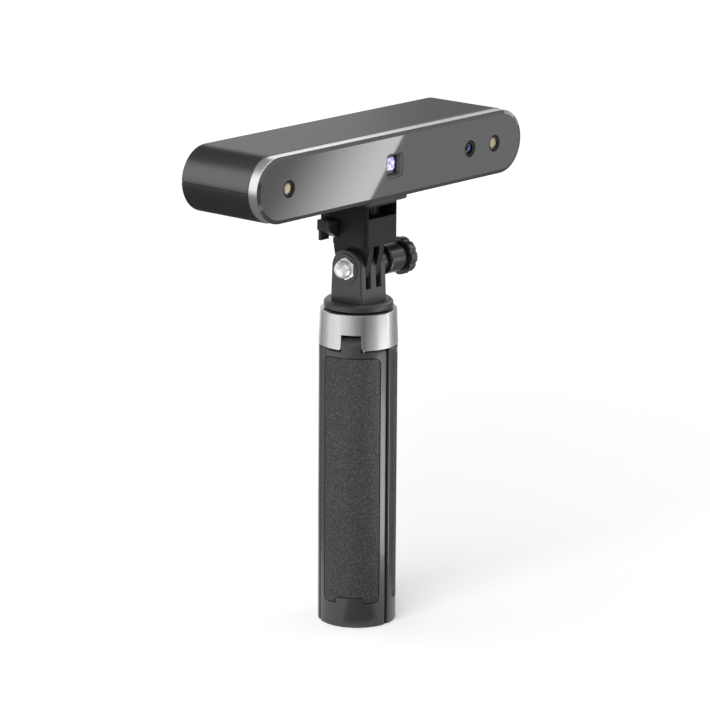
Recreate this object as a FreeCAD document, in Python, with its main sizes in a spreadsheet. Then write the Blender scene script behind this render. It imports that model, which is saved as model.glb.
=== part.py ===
"""Hand-held structured-light 3D scanner on a tilting mini-tripod grip.

The part stands on its closed legs.  Origin: middle of the part's footprint on the floor.
+X runs along the scanning head, -Y is the side that the cameras look out of, +Z is up.
"""
import FreeCAD
import Part
import math
import os
import re

import Sketcher
from FreeCAD import Placement, Rotation, Vector

# Driving sizes in millimetres and degrees.  Each one is a cell of the spreadsheet "Sizes".
SIZES = {
    # scanning head: housing shells, silver bezel and front glass
    "head_width": 154.6,
    "head_depth": 38.2,
    "head_height": 25.6,
    "housing_wall": 1.6,
    "post_radius": 2.6,
    "post_margin": 15.3,
    "post_inner_spread": 30.0,
    "post_back": 11.5,
    "bezel_inset": 0.28,
    "bezel_depth": 4.3,
    "bezel_rim": 2.1,
    "bezel_lip": 1.3,
    "spigot_length": 3.2,
    "spigot_wall": 1.2,
    "fit_gap": 0.1,
    "glass_bevel": 1.5,
    "glass_bevel_depth": 0.6,
    "glass_step_depth": 1.0,
    "gasket_thickness": 0.2,
    # rear cover, its vents, connector and light
    "cover_thickness": 1.8,
    "vent_count": 9,
    "vent_pitch": 4.0,
    "vent_width": 1.6,
    "vent_height": 9.0,
    "vent_offset": 26.0,
    "socket_width": 9.0,
    "socket_height": 3.3,
    "socket_length": 7.5,
    "socket_wall": 0.4,
    "socket_board_width": 16.0,
    "socket_board_length": 8.0,
    "socket_board_thickness": 1.2,
    "light_radius": 1.1,
    "light_length": 4.0,
    "light_offset": 12.0,
    # cameras and projector
    "infrared_margin": 17.3,
    "colour_margin": 32.3,
    "lens_hole": 3.3,
    "barrel_radius": 2.95,
    "barrel_setback": 0.35,
    "infrared_lens": 2.3,
    "colour_lens": 2.2,
    "lens_setback": 0.7,
    "lens_thickness": 1.4,
    "camera_size": 11.0,
    "camera_depth": 7.0,
    "well_size": 9.6,
    "well_corner": 1.8,
    "frame_setback": 0.2,
    "frame_wall": 0.6,
    "frame_step": 0.3,
    "window_size": 6.8,
    "window_thickness": 2.2,
    "projector_width": 18.0,
    "projector_height": 15.0,
    # carrier plate and circuit board
    "carrier_front": 7.5,
    "carrier_thickness": 2.0,
    "spacer_height": 3.4,
    "spacer_radius": 2.0,
    "spacer_spread": 52.0,
    "spacer_rise": 6.0,
    "board_half_length": 60.0,
    "board_half_height": 8.5,
    "board_thickness": 1.6,
    "chip_size": 9.0,
    "chip_thickness": 1.2,
    "chip_spread": 40.0,
    # housing screws
    "screw_radius": 1.25,
    "screw_head_radius": 2.2,
    "screw_head_height": 1.5,
    "screw_length": 18.0,
    # thread insert and mounting screw with a quarter-inch camera thread
    "insert_radius": 4.6,
    "insert_height": 6.0,
    "insert_boss_wall": 1.6,
    "boss_gap": 0.4,
    "thread_radius": 3.175,
    "thread_clearance": 0.05,
    "screw_hole_radius": 3.5,
    "screw_reach": 4.6,
    # bracket between head and grip
    "grip_place": -1.25,
    "plate_half_width": 15.0,
    "plate_half_depth": 14.5,
    "plate_thickness": 1.5,
    "plate_corner": 6.0,
    "rubber_thickness": 0.5,
    "rubber_inset": 0.4,
    "block_half_width": 9.2,
    "block_half_depth": 11.35,
    "block_low_back": 5.15,
    "block_height": 17.2,
    "block_low_height": 4.5,
    "block_corner": 2.4,
    "block_edge": 0.5,
    "block_rise": 9.7,
    # thumb wheel that turns the mounting screw
    "roof_thickness": 1.7,
    "wheel_radius": 8.0,
    "wheel_height": 4.1,
    "wheel_gap": 0.2,
    "wheel_side_gap": 0.3,
    "wheel_ridges": 30,
    "ridge_radius": 0.35,
    "window_left_wall": 1.8,
    "window_right_wall": 0.6,
    # release button with its stem, return spring and stop pin
    "button_front": 2.55,
    "button_width": 6.1,
    "button_reach": 5.3,
    "button_drop": 7.7,
    "button_height": 4.0,
    "button_taper": 3.0,
    "button_seat": 0.3,
    "button_front_gap": 0.6,
    "button_gap": 0.3,
    "button_travel": 2.5,
    "lip_width": 1.2,
    "lip_drop": 1.2,
    "lip_setback": 0.8,
    "stem_drop": 0.8,
    "stem_half_width": 2.0,
    "stem_height": 2.6,
    "stem_length": 11.4,
    "stem_gap": 0.15,
    "stop_pin_radius": 0.75,
    "stop_pin_place": -1.0,
    "stop_pin_bite": 0.8,
    "spring_length": 4.1,
    "spring_half_height": 0.75,
    "spring_strip": 0.8,
    "spring_half_width": 1.5,
    "spring_folds": 6,
    # tilt joint: two fingers of the bracket between the three of the clevis
    "finger_spread": 3.0,
    "finger_thickness": 2.7,
    "finger_radius": 7.2,
    "finger_root": 9.0,
    "finger_root_drop": 2.7,
    "finger_waist": 8.3,
    "finger_waist_rise": 3.8,
    "slot_width": 2.9,
    "slot_depth": 7.6,
    "clevis_half_width": 7.5,
    "clevis_radius": 7.4,
    "clevis_foot": 8.0,
    "clevis_corner": 0.8,
    "tilt_rise": 12.8,
    "bolt_radius": 2.5,
    "bolt_clearance": 0.08,
    "bolt_nut_reach": 3.0,
    "bolt_knob_reach": 9.0,
    "nut_across": 8.0,
    "nut_seat": 1.6,
    "nut_hex_height": 2.1,
    "nut_height": 6.6,
    "nut_dome_radius": 3.6,
    "nut_dome_flat": 0.05,
    "nut_bore": 3.4,
    "nut_boss_radius": 5.9,
    "nut_boss_height": 0.5,
    # clamp knob
    "washer_gap": 0.1,
    "washer_thickness": 0.8,
    "washer_radius": 4.9,
    "knob_neck_radius": 4.3,
    "knob_neck_length": 4.6,
    "knob_hub_radius": 5.8,
    "knob_hub_length": 9.2,
    "knob_hub_round": 0.9,
    "knob_groove_radius": 4.9,
    "knob_groove_width": 0.8,
    "knob_flange_radius": 7.4,
    "knob_flange_width": 3.9,
    "knob_flange_round": 0.8,
    "knob_flutes": 9,
    "flute_radius": 1.6,
    "flute_depth": 0.6,
    # clevis foot, collar and hub
    "disc_radius": 13.5,
    "disc_thickness": 2.1,
    "disc_bevel": 0.8,
    "disc_gap": 0.6,
    "foot_stem_radius": 9.5,
    "collar_height": 14.0,
    "collar_top_radius": 14.9,
    "collar_bottom_radius": 15.5,
    "collar_wall": 0.8,
    "collar_lip": 2.4,
    "collar_lip_height": 1.0,
    "collar_gap": 0.3,
    "notch_half_width": 4.0,
    "notch_height": 6.0,
    "core_radius": 8.0,
    "hub_bolt_radius": 3.0,
    "hub_bolt_head_radius": 5.0,
    "hub_bolt_head_height": 4.0,
    "hub_bolt_reach": 8.0,
    # legs
    "leg_height": 111.2,
    "leg_radius": 15.3,
    "leg_wall": 4.0,
    "leg_half_angle": 57.75,
    "leg_floor": 3.0,
    "leg_floor_radius": 3.0,
    "leg_foot_bevel": 0.8,
    "leg_shoulder": 1.2,
    "tongue_half_width": 3.8,
    "tongue_radius": 3.5,
    "tongue_root": 6.0,
    "pivot_radius": 12.0,
    "pivot_rise": 2.2,
    "pin_radius": 1.0,
    "pin_clearance": 0.05,
    "pin_half_length": 5.0,
    "relief_start": 3.7,
    "relief_end": 2.05,
    "relief_length": 6.0,
    "pad_thickness": 0.8,
    "pad_half_angle": 45.0,
    "pad_bottom": 10.0,
    "pad_top_margin": 3.0,
    "pad_side_gap": 0.3,
    "pad_tab_half_angle": 22.0,
    "pad_tab_rise": 2.3,
}

# Places and sizes that follow from the driving ones, each as a formula of names.
PLACES = {
    "collar_bottom": "leg_height + collar_gap",
    "collar_top": "collar_bottom + collar_height",
    "collar_bore": "collar_top_radius - collar_wall",
    "hub_top": "collar_top - collar_lip_height",
    "disc_bottom": "collar_top + disc_gap",
    "disc_top": "disc_bottom + disc_thickness + disc_bevel",
    "tilt_axis": "disc_top + tilt_rise",
    "block_bottom": "tilt_axis + block_rise",
    "block_step": "block_bottom + block_low_height",
    "block_top": "block_bottom + block_height",
    "plate_top": "block_top + plate_thickness",
    "head_bottom": "plate_top + rubber_thickness",
    "head_middle": "head_bottom + head_height / 2",
    "head_top": "head_bottom + head_height",
    "head_radius": "head_height / 2",
    "head_half": "head_width / 2 - head_height / 2",
    "shell_radius": "head_radius - housing_wall",
    "inner_radius": "shell_radius - fit_gap",
    "post_spread": "(head_width / 2 - post_margin)",
    "bezel_radius": "head_radius - bezel_inset",
    "rebate_radius": "bezel_radius - bezel_rim",
    "lip_radius": "rebate_radius - bezel_lip",
    "infrared_offset": "(head_width / 2 - infrared_margin)",
    "colour_offset": "(head_width / 2 - colour_margin)",
    "front_face": "(0 - head_depth / 2)",
    "rear_face": "head_depth / 2",
    "glass_back": "(front_face + glass_bevel_depth)",
    "step_back": "(glass_back + glass_step_depth)",
    "gasket_back": "(step_back + gasket_thickness)",
    "bezel_back": "(glass_back + bezel_depth)",
    "cover_front": "rear_face - cover_thickness",
    "carrier_face": "(0 - carrier_front)",
    "carrier_back": "(carrier_face + carrier_thickness)",
    "board_front": "(carrier_back + spacer_height)",
    "board_back": "(board_front + board_thickness)",
    "camera_front": "(carrier_face - camera_depth)",
    "barrel_front": "(front_face + barrel_setback)",
    "frame_front": "(front_face + frame_setback)",
    "wheel_top": "block_top - roof_thickness - wheel_gap",
    "wheel_bottom": "wheel_top - wheel_height",
    "pocket_radius": "wheel_radius + wheel_side_gap",
    "button_top": "block_top - button_drop",
    "button_inner": "(0 - block_half_width + button_seat)",
    "notch_end": "(button_inner + button_travel + stem_gap)",
    "stem_middle": "button_front + button_width / 2",
    "stem_top": "button_top - stem_drop",
    "stem_end": "(button_inner + stem_length)",
    "channel_end": "(stem_end + spring_length)",
    "nut_face": "clevis_half_width - nut_seat",
    "knob_start": "clevis_half_width + washer_gap + washer_thickness",
    "hub_start": "knob_start + knob_neck_length",
    "groove_start": "hub_start + knob_hub_length",
    "flange_start": "groove_start + knob_groove_width",
    "pivot_height": "leg_height + pivot_rise",
    "pad_top": "leg_height - pad_top_margin",
    "hub_notch_top": "collar_bottom + notch_height",
}

FUNCTIONS = {"sqrt", "sin", "cos", "tan", "max", "min"}
WORD = re.compile(r"[a-z][a-z_0-9]*")
TURN = {
    "X": Rotation(Vector(0, 1, 0), 90),
    "Y": Rotation(Vector(1, 0, 0), -90),
    "Z": Rotation(),
}

doc = FreeCAD.newDocument("Scanner")
sheet = doc.addObject("Spreadsheet::Sheet", "Sizes")
for row, (name, value) in enumerate(SIZES.items(), start=1):
    sheet.set(f"A{row}", name)
    sheet.set(f"B{row}", str(value))
    sheet.setAlias(f"B{row}", name)
doc.recompute()


def formula(text):
    """Return the expression of a formula: places written out, sizes read from the sheet."""
    def written(match):
        word = match.group(0)
        if word in PLACES:
            return f"({formula(PLACES[word])})"
        return word if word in FUNCTIONS else f"Sizes.{word}"
    return WORD.sub(written, str(text))


def number(text):
    """Return the present value of a formula."""
    return float(sheet.evalExpression(formula(text)))


def bind(item, path, text):
    """Tie one property of an object to a formula."""
    item.setExpression(path, formula(text))


def locate(item, x="0", y="0", z="0", turn=Rotation()):
    """Place an object at three formulas, turned by a fixed rotation."""
    item.Placement = Placement(Vector(number(x), number(y), number(z)), turn)
    for letter, text in zip("xyz", (x, y, z)):
        bind(item, f"Placement.Base.{letter}", text)


def new_body(label, y="0", z="0"):
    """Start a sub-part.  Its own axes stand at the given place."""
    owner = doc.addObject("PartDesign::Body", label)
    owner.Label = label
    locate(owner, "0", y, z)
    return owner


def feature(owner, kind, cut):
    """Add one feature of the additive or subtractive kind to a body."""
    name = f"{'Subtractive' if cut else 'Additive'}{kind}"
    return owner.newObject(f"PartDesign::{name}", f"{owner.Name}_{kind}")


def box(owner, x, y, z, cut=False):
    """Add or cut a box between three pairs of formulas."""
    item = feature(owner, "Box", cut)
    for side, (low, high) in zip(("Length", "Width", "Height"), (x, y, z)):
        bind(item, side, f"({high}) - ({low})")
    locate(item, x[0], y[0], z[0])
    return item


def rod(owner, axis, place, length, radius, cut=False):
    """Add or cut a cylinder that starts at a place and runs along +X, +Y or +Z."""
    item = feature(owner, "Cylinder", cut)
    bind(item, "Radius", radius)
    bind(item, "Height", length)
    locate(item, *place, turn=TURN[axis])
    return item


def base_plane(owner, role):
    """Return one of the origin planes or axes of a body."""
    return next(part for part in owner.Origin.OriginFeatures if part.Role == role)


def fix_point(sketch, geometry, point, x, y):
    """Hold one point of a sketch at two formulas."""
    for kind, text in (("DistanceX", x), ("DistanceY", y)):
        index = sketch.addConstraint(
            Sketcher.Constraint(kind, -1, 1, geometry, point, number(text)))
        bind(sketch, f"Constraints[{index}]", text)


def polygon(points):
    """Return a drawing function for a closed outline of straight lines."""
    def draw(sketch):
        first = sketch.GeometryCount
        count = len(points)
        corners = [Vector(number(x), number(y), 0) for x, y in points]
        for index in range(count):
            line = Part.LineSegment(corners[index], corners[(index + 1) % count])
            sketch.addGeometry(line, False)
        for index in range(count):
            follower = first + (index + 1) % count
            sketch.addConstraint(Sketcher.Constraint("Coincident", first + index, 2, follower, 1))
        for index, (x, y) in enumerate(points):
            fix_point(sketch, first + index, 1, x, y)
    return draw


def rectangle(x_low, x_high, y_low, y_high):
    """Return a drawing function for a rectangle between four formulas."""
    return polygon([(x_low, y_low), (x_high, y_low), (x_high, y_high), (x_low, y_high)])


def circle(x, y, radius):
    """Return a drawing function for a circle."""
    def draw(sketch):
        centre = Vector(number(x), number(y), 0)
        ring = Part.Circle(centre, Vector(0, 0, 1), number(radius))
        geometry = sketch.addGeometry(ring, False)
        fix_point(sketch, geometry, 3, x, y)
        index = sketch.addConstraint(Sketcher.Constraint("Radius", geometry, number(radius)))
        bind(sketch, f"Constraints[{index}]", radius)
    return draw


def stadium(radius, half="head_half", height="head_middle"):
    """Return a drawing function for an outline of two lines and two half circles."""
    def draw(sketch):
        reach = number(half)
        level = number(height)
        size = number(radius)
        right = Part.Circle(Vector(reach, level, 0), Vector(0, 0, 1), size)
        left = Part.Circle(Vector(-reach, level, 0), Vector(0, 0, 1), size)
        top = level + size
        low = level - size
        quarter = math.pi / 2
        first = sketch.GeometryCount
        sketch.addGeometry(Part.LineSegment(Vector(-reach, top, 0), Vector(reach, top, 0)), False)
        sketch.addGeometry(Part.ArcOfCircle(right, -quarter, quarter), False)
        sketch.addGeometry(Part.LineSegment(Vector(reach, low, 0), Vector(-reach, low, 0)), False)
        sketch.addGeometry(Part.ArcOfCircle(left, quarter, 3 * quarter), False)
        for line, line_end, arc, arc_end in ((0, 2, 1, 2), (2, 1, 1, 1), (2, 2, 3, 2), (0, 1, 3, 1)):
            sketch.addConstraint(
                Sketcher.Constraint("Tangent", first + line, line_end, first + arc, arc_end))
        fix_point(sketch, first + 1, 3, half, height)
        fix_point(sketch, first + 3, 3, f"0 - ({half})", height)
        for arc in (1, 3):
            index = sketch.addConstraint(Sketcher.Constraint("Radius", first + arc, size))
            bind(sketch, f"Constraints[{index}]", radius)
    return draw


def sketch_on(owner, plane, offset, drawings):
    """Draw a sketch on an origin plane of a body, moved along the plane's normal."""
    sketch = owner.newObject("Sketcher::SketchObject", f"{owner.Name}_Sketch")
    sketch.AttachmentSupport = (base_plane(owner, f"{plane}_Plane"), [""])
    sketch.MapMode = "FlatFace"
    bind(sketch, "AttachmentOffset.Base.z", offset)
    for draw in drawings:
        draw(sketch)
    return sketch


def prism(owner, plane, low, high, *drawings, cut=False):
    """Add or cut the drawn outlines between two places along the normal axis of a plane."""
    backwards = plane == "XZ"
    start = high if backwards != cut else low
    sketch = sketch_on(owner, plane, f"0 - ({start})" if backwards else start, drawings)
    kind = "Pocket" if cut else "Pad"
    item = owner.newObject(f"PartDesign::{kind}", f"{owner.Name}_{kind}")
    item.Profile = sketch
    bind(item, "Length", f"({high}) - ({low})")
    return item


def turned(owner, points, cut=False, angle=None):
    """Add or cut an outline of (radius, height) points turned about the body's Z axis."""
    sketch = sketch_on(owner, "XZ", "0", [polygon(points)])
    kind = "Groove" if cut else "Revolution"
    item = owner.newObject(f"PartDesign::{kind}", f"{owner.Name}_{kind}")
    item.Profile = sketch
    item.ReferenceAxis = (base_plane(owner, "Z_Axis"), [""])
    if angle is None:
        item.Angle = 360
    else:
        item.Midplane = True
        bind(item, "Angle", angle)
    return item


def around(owner, originals, count, axis="Z_Axis"):
    """Repeat features evenly around an axis of the body."""
    item = owner.newObject("PartDesign::PolarPattern", f"{owner.Name}_Pattern")
    item.Originals = originals
    item.Axis = (base_plane(owner, axis), [""])
    item.Angle = 360
    bind(item, "Occurrences", count)
    owner.Tip = item
    return item


def edges_where(item, test):
    """Return the names of the edges of a feature whose ends and middle pass a test."""
    doc.recompute()
    names = []
    for index, edge in enumerate(item.Shape.Edges, start=1):
        low, high = edge.ParameterRange
        points = [edge.valueAt(low + (high - low) * share) for share in (0.0, 0.5, 1.0)]
        if test(points):
            names.append(f"Edge{index}")
    return names


def all_at(**places):
    """Return an edge test: every point lies at the given coordinates."""
    values = {letter: number(text) for letter, text in places.items()}
    return lambda points: all(
        abs(getattr(point, letter) - value) < 1e-4
        for point in points for letter, value in values.items())


def rounded(owner, radius, test, kind="Fillet"):
    """Round or bevel the edges of the body's last feature that pass a test."""
    base = owner.Tip
    names = edges_where(base, test)
    if not names:
        raise RuntimeError(f"{owner.Label}: no edge to round")
    item = owner.newObject(f"PartDesign::{kind}", f"{owner.Name}_{kind}")
    item.Base = (base, names)
    bind(item, "Radius" if kind == "Fillet" else "Size", radius)
    return item


def solid_rod(axis, place, length, radius):
    """Return a free cylinder for a group of fasteners."""
    item = doc.addObject("Part::Cylinder", "Rod")
    bind(item, "Radius", radius)
    bind(item, "Height", length)
    locate(item, *place, turn=TURN[axis])
    return item


def group(label, members):
    """Gather separate solids of one kind under one label."""
    item = doc.addObject("Part::Compound", label)
    item.Label = label
    item.Links = members
    return item


def minus(text):
    """Return the opposite of a formula."""
    return f"(0 - ({text}))"


# ---------------------------------------------------------------- scanning head

def housing(label, upper):
    """Make one half of the tube-shaped housing, split along its middle height."""
    owner = new_body(label)
    prism(owner, "XZ", "bezel_back", "rear_face", stadium("head_radius"), stadium("shell_radius"))
    far_side = ("head_bottom - 1", "head_middle") if upper else ("head_middle", "head_top + 1")
    box(owner, (minus("head_width"), "head_width"), ("front_face - 1", "rear_face + 1"),
        far_side, cut=True)
    low = "head_middle" if upper else "head_bottom + housing_wall / 2"
    high = "head_top - housing_wall / 2" if upper else "head_middle"
    for spread in ("post_spread", "post_inner_spread"):
        for x in (spread, minus(spread)):
            rod(owner, "Z", (x, "post_back", low), f"({high}) - ({low})", "post_radius")
            rod(owner, "Z", (x, "post_back", "head_bottom"), "screw_head_height + screw_length",
                "screw_radius", cut=True)
            if not upper:
                rod(owner, "Z", (x, "post_back", "head_bottom"), "screw_head_height",
                    "screw_head_radius + fit_gap", cut=True)
    if not upper:
        rod(owner, "Z", ("0", "grip_place", "head_bottom + housing_wall / 2"),
            "insert_height - housing_wall / 2", "insert_radius + insert_boss_wall")
        rod(owner, "Z", ("0", "grip_place", "head_bottom"), "insert_height", "insert_radius",
            cut=True)
    return owner


def front_bezel():
    """Make the silver ring that closes the front of the housing and frames the glass."""
    owner = new_body("front_bezel")
    prism(owner, "XZ", "glass_back", "bezel_back", stadium("bezel_radius"), stadium("lip_radius"))
    prism(owner, "XZ", "bezel_back", "bezel_back + spigot_length", stadium("inner_radius"),
          stadium("inner_radius - spigot_wall"))
    prism(owner, "XZ", "glass_back", "gasket_back", stadium("rebate_radius"),
          stadium("lip_radius - fit_gap"), cut=True)
    return owner


def glass_gasket():
    """Make the black adhesive ring under the edge of the glass."""
    owner = new_body("glass_gasket")
    prism(owner, "XZ", "step_back", "gasket_back", stadium("rebate_radius - fit_gap"),
          stadium("lip_radius"))
    return owner


def front_glass():
    """Make the dark glass with its bevelled edge, three lens holes and the projector hole."""
    owner = new_body("front_glass")
    prism(owner, "XZ", "front_face", "glass_back", stadium("bezel_radius"))
    bevel = rounded(owner, "glass_bevel", all_at(y="front_face"), kind="Chamfer")
    bevel.ChamferType = "Two distances"
    bind(bevel, "Size", "glass_bevel_depth - 0.01")
    bind(bevel, "Size2", "glass_bevel")
    prism(owner, "XZ", "glass_back", "step_back", stadium("rebate_radius - fit_gap"))
    for x in (minus("infrared_offset"), "infrared_offset", "colour_offset"):
        rod(owner, "Y", (x, "front_face - 1", "head_middle"), "head_depth", "lens_hole", cut=True)
    half = "well_size / 2"
    prism(owner, "XZ", "front_face - 1", "step_back + 1",
          rectangle(minus(half), half, f"head_middle - {half}", f"head_middle + {half}"), cut=True)
    rounded(owner, "well_corner", lambda points: corner_lines(points, number(half)))
    return owner


def corner_lines(points, half):
    """Tell whether an edge is a corner of the square hole, running along Y."""
    middle = number("head_middle")
    return all(abs(abs(p.x) - half) < 1e-4 and abs(abs(p.z - middle) - half) < 1e-4
               for p in points)


def camera(label, x, lens_radius):
    """Make a camera module: a block on the carrier and a barrel that fills the glass's hole."""
    owner = new_body(label)
    half = "camera_size / 2"
    box(owner, (f"({x}) - {half}", f"({x}) + {half}"), ("camera_front", "carrier_face"),
        (f"head_middle - {half}", f"head_middle + {half}"))
    rod(owner, "Y", (x, "barrel_front", "head_middle"), "camera_front - barrel_front + 1",
        "barrel_radius")
    rod(owner, "Y", (x, "barrel_front", "head_middle"), "lens_setback + lens_thickness",
        lens_radius, cut=True)
    return owner


def lens_solid(x, lens_radius):
    """Return the lens disc that sits in a camera's barrel."""
    return solid_rod("Y", (x, "barrel_front + lens_setback", "head_middle"), "lens_thickness",
                     lens_radius)


def projector_frame():
    """Make the stepped square well in front of the projector."""
    owner = new_body("projector_frame")
    outer = "(well_size / 2 - fit_gap)"
    prism(owner, "XZ", "frame_front", "camera_front", square(outer))
    rounded(owner, "well_corner", lambda points: corner_lines(points, number(outer)))
    depth = "(camera_front - frame_front) / 4"
    for index in range(3):
        size = f"({outer} - frame_wall - {index} * frame_step)"
        prism(owner, "XZ", "frame_front - 1", f"frame_front + {index + 1} * {depth}",
              square(size), cut=True)
    prism(owner, "XZ", "frame_front", "camera_front + 1", square("window_size / 2"), cut=True)
    return owner


def square(half):
    """Return a drawing function for a square about the head's middle."""
    return rectangle(minus(half), half, f"head_middle - {half}", f"head_middle + {half}")


def projector_window():
    """Make the small pane that the pattern leaves the projector through."""
    owner = new_body("projector_window")
    prism(owner, "XZ", "camera_front - window_thickness", "camera_front",
          square("window_size / 2"))
    return owner


def projector_module():
    """Make the projector block on the carrier."""
    owner = new_body("projector_module")
    box(owner, (minus("projector_width / 2"), "projector_width / 2"),
        ("camera_front", "carrier_face"),
        ("head_middle - projector_height / 2", "head_middle + projector_height / 2"))
    return owner


def boss_notch(owner, front, back):
    """Cut the notch that leaves room for the boss of the thread insert."""
    half = "insert_radius + insert_boss_wall + boss_gap"
    box(owner, (minus(half), half), (f"{front} - 1", f"{back} + 1"),
        ("head_bottom - 1", "head_bottom + insert_height + boss_gap"), cut=True)


def carrier():
    """Make the plate that carries cameras, projector and board, with its four spacers."""
    owner = new_body("sensor_carrier")
    prism(owner, "XZ", "carrier_face", "carrier_back", stadium("inner_radius"))
    boss_notch(owner, "carrier_face", "carrier_back")
    for x in ("spacer_spread", minus("spacer_spread")):
        for z in ("head_middle + spacer_rise", "head_middle - spacer_rise"):
            rod(owner, "Y", (x, "carrier_back - 1", z), "spacer_height + 1", "spacer_radius")
    return owner


def main_board():
    """Make the circuit board on the spacers."""
    owner = new_body("main_board")
    box(owner, (minus("board_half_length"), "board_half_length"), ("board_front", "board_back"),
        ("head_middle - board_half_height", "head_middle + board_half_height"))
    boss_notch(owner, "board_front", "board_back")
    return owner


def board_chips():
    """Make the chips on the back of the board."""
    chips = []
    for index in (-1, 0, 1):
        chip = doc.addObject("Part::Box", "Chip")
        bind(chip, "Length", "chip_size")
        bind(chip, "Width", "chip_thickness")
        bind(chip, "Height", "chip_size")
        locate(chip, f"({index}) * chip_spread - chip_size / 2", "board_back",
               "head_middle - chip_size / 2")
        chips.append(chip)
    return group("board_chips", chips)


def rear_cover():
    """Make the rear cover with two rows of vents, the connector's slot and the light's hole."""
    owner = new_body("rear_cover")
    vents = [vent(side, index) for side in (-1, 1) for index in range(int(number("vent_count")))]
    prism(owner, "XZ", "cover_front", "rear_face", stadium("inner_radius"), *vents,
          circle("light_offset", "head_middle", "light_radius + fit_gap"),
          rectangle(minus("socket_width / 2 + fit_gap"), "socket_width / 2 + fit_gap",
                    "head_middle - socket_height / 2 - fit_gap",
                    "head_middle + socket_height / 2 + fit_gap"))
    return owner


def vent(side, index):
    """Return a drawing function for one upright vent slot."""
    x = f"({side}) * (vent_offset + {index} * vent_pitch)"
    return rectangle(f"{x} - vent_width / 2", f"{x} + vent_width / 2",
                     "head_middle - vent_height / 2", "head_middle + vent_height / 2")


def cable_socket():
    """Make the hollow metal shell of the cable socket with its tongue."""
    owner = new_body("cable_socket")
    x = ("(0 - socket_width / 2)", "socket_width / 2")
    z = ("head_middle - socket_height / 2", "head_middle + socket_height / 2")
    front = "rear_face - socket_length"
    box(owner, x, (front, "rear_face"), z)
    box(owner, (f"{x[0]} + socket_wall", f"{x[1]} - socket_wall"),
        (f"{front} + socket_wall", "rear_face + 1"),
        (f"{z[0]} + socket_wall", f"{z[1]} - socket_wall"), cut=True)
    box(owner, (f"{x[0]} + 3 * socket_wall", f"{x[1]} - 3 * socket_wall"),
        (front, "rear_face - socket_wall"),
        ("head_middle - socket_wall", "head_middle + socket_wall"))
    return owner


def socket_board():
    """Make the small board under the cable socket, against the rear cover."""
    owner = new_body("socket_board")
    box(owner, ("(0 - socket_board_width / 2)", "socket_board_width / 2"),
        ("cover_front - socket_board_length", "cover_front"),
        ("head_middle - socket_height / 2 - socket_board_thickness",
         "head_middle - socket_height / 2"))
    return owner


def status_light():
    """Make the light guide in the rear cover."""
    owner = new_body("status_light")
    rod(owner, "Y", ("light_offset", "rear_face - light_length", "head_middle"), "light_length",
        "light_radius")
    return owner


def housing_screws():
    """Make the screws that hold the two housing shells together."""
    screws = []
    for spread in ("post_spread", "post_inner_spread"):
        for x in (spread, minus(spread)):
            place = (x, "post_back", "head_bottom")
            head = solid_rod("Z", place, "screw_head_height", "screw_head_radius")
            shank = solid_rod("Z", place, "screw_head_height + screw_length", "screw_radius")
            screw = doc.addObject("Part::Fuse", "Screw")
            screw.Base = head
            screw.Tool = shank
            screws.append(screw)
    return group("housing_screws", screws)


def thread_insert():
    """Make the brass insert in the floor of the head."""
    owner = new_body("thread_insert", "grip_place")
    inner = "thread_radius + thread_clearance"
    turned(owner, [(inner, "head_bottom"), ("insert_radius", "head_bottom"),
                   ("insert_radius", "head_bottom + insert_height"),
                   (inner, "head_bottom + insert_height")])
    return owner


# ---------------------------------------------------------------- bracket under the head

def plate(label, low, high, inset):
    """Make the mounting plate or the rubber pad on it."""
    owner = new_body(label, "grip_place")
    x = f"(plate_half_width - {inset})"
    y = f"(plate_half_depth - {inset})"
    prism(owner, "XY", low, high, rectangle(minus(x), x, minus(y), y),
          circle("0", "0", "screw_hole_radius"))
    rounded(owner, f"plate_corner - {inset}",
            lambda points: all(abs(abs(p.x) - number(x)) < 1e-4
                               and abs(abs(p.y) - number(y)) < 1e-4 for p in points))
    return owner


def bracket_block():
    """Make the block with the wheel's pocket, the button's channel and two tilt fingers."""
    owner = new_body("bracket_block", "grip_place")
    left = minus("block_half_width")
    sides = (left, "block_half_width")
    front = minus("block_half_depth")
    box(owner, sides, (front, "block_half_depth"), ("block_step", "block_top"))
    box(owner, sides, (front, "block_low_back"), ("block_bottom", "block_step"))
    rounded(owner, "block_corner", all_at(x=left, y=front))
    rounded(owner, "block_edge", all_at(x="block_half_width", y=front))
    for side in (-1, 1):
        middle = f"({side}) * finger_spread"
        x = (f"{middle} - finger_thickness / 2", f"{middle} + finger_thickness / 2")
        prism(owner, "YZ", *x, flared_root())
        rod(owner, "X", (x[0], "0", "tilt_axis"), "finger_thickness", "finger_radius")
    rod(owner, "X", (left, "0", "tilt_axis"), "2 * block_half_width",
        "bolt_radius + bolt_clearance", cut=True)
    pocket = ("wheel_bottom - wheel_gap", "wheel_top + wheel_gap")
    rod(owner, "Z", ("0", "0", pocket[0]), "wheel_height + 2 * wheel_gap", "pocket_radius",
        cut=True)
    box(owner, (f"{left} + window_left_wall", "block_half_width - window_right_wall"),
        (f"{front} - 1", "0"), pocket, cut=True)
    box(owner, (minus("pocket_radius"), "pocket_radius"), ("0", "block_half_depth + 1"), pocket,
        cut=True)
    rod(owner, "Z", ("0", "0", "wheel_top"), "block_top - wheel_top", "screw_hole_radius",
        cut=True)
    box(owner, (f"{left} - 1", "notch_end"),
        ("button_front - button_front_gap", "button_front + button_width + button_gap"),
        ("button_top - button_height - button_taper - button_gap", "button_top + button_gap"),
        cut=True)
    box(owner, ("notch_end - 1", "channel_end"),
        ("stem_middle - stem_half_width - stem_gap", "stem_middle + stem_half_width + stem_gap"),
        ("stem_top - stem_height - stem_gap", "stem_top + stem_gap"), cut=True)
    rod(owner, "Z", ("stop_pin_place", "stem_middle", "block_step"),
        "stem_top + stem_gap + stop_pin_bite - block_step", "stop_pin_radius", cut=True)
    return owner


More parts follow.
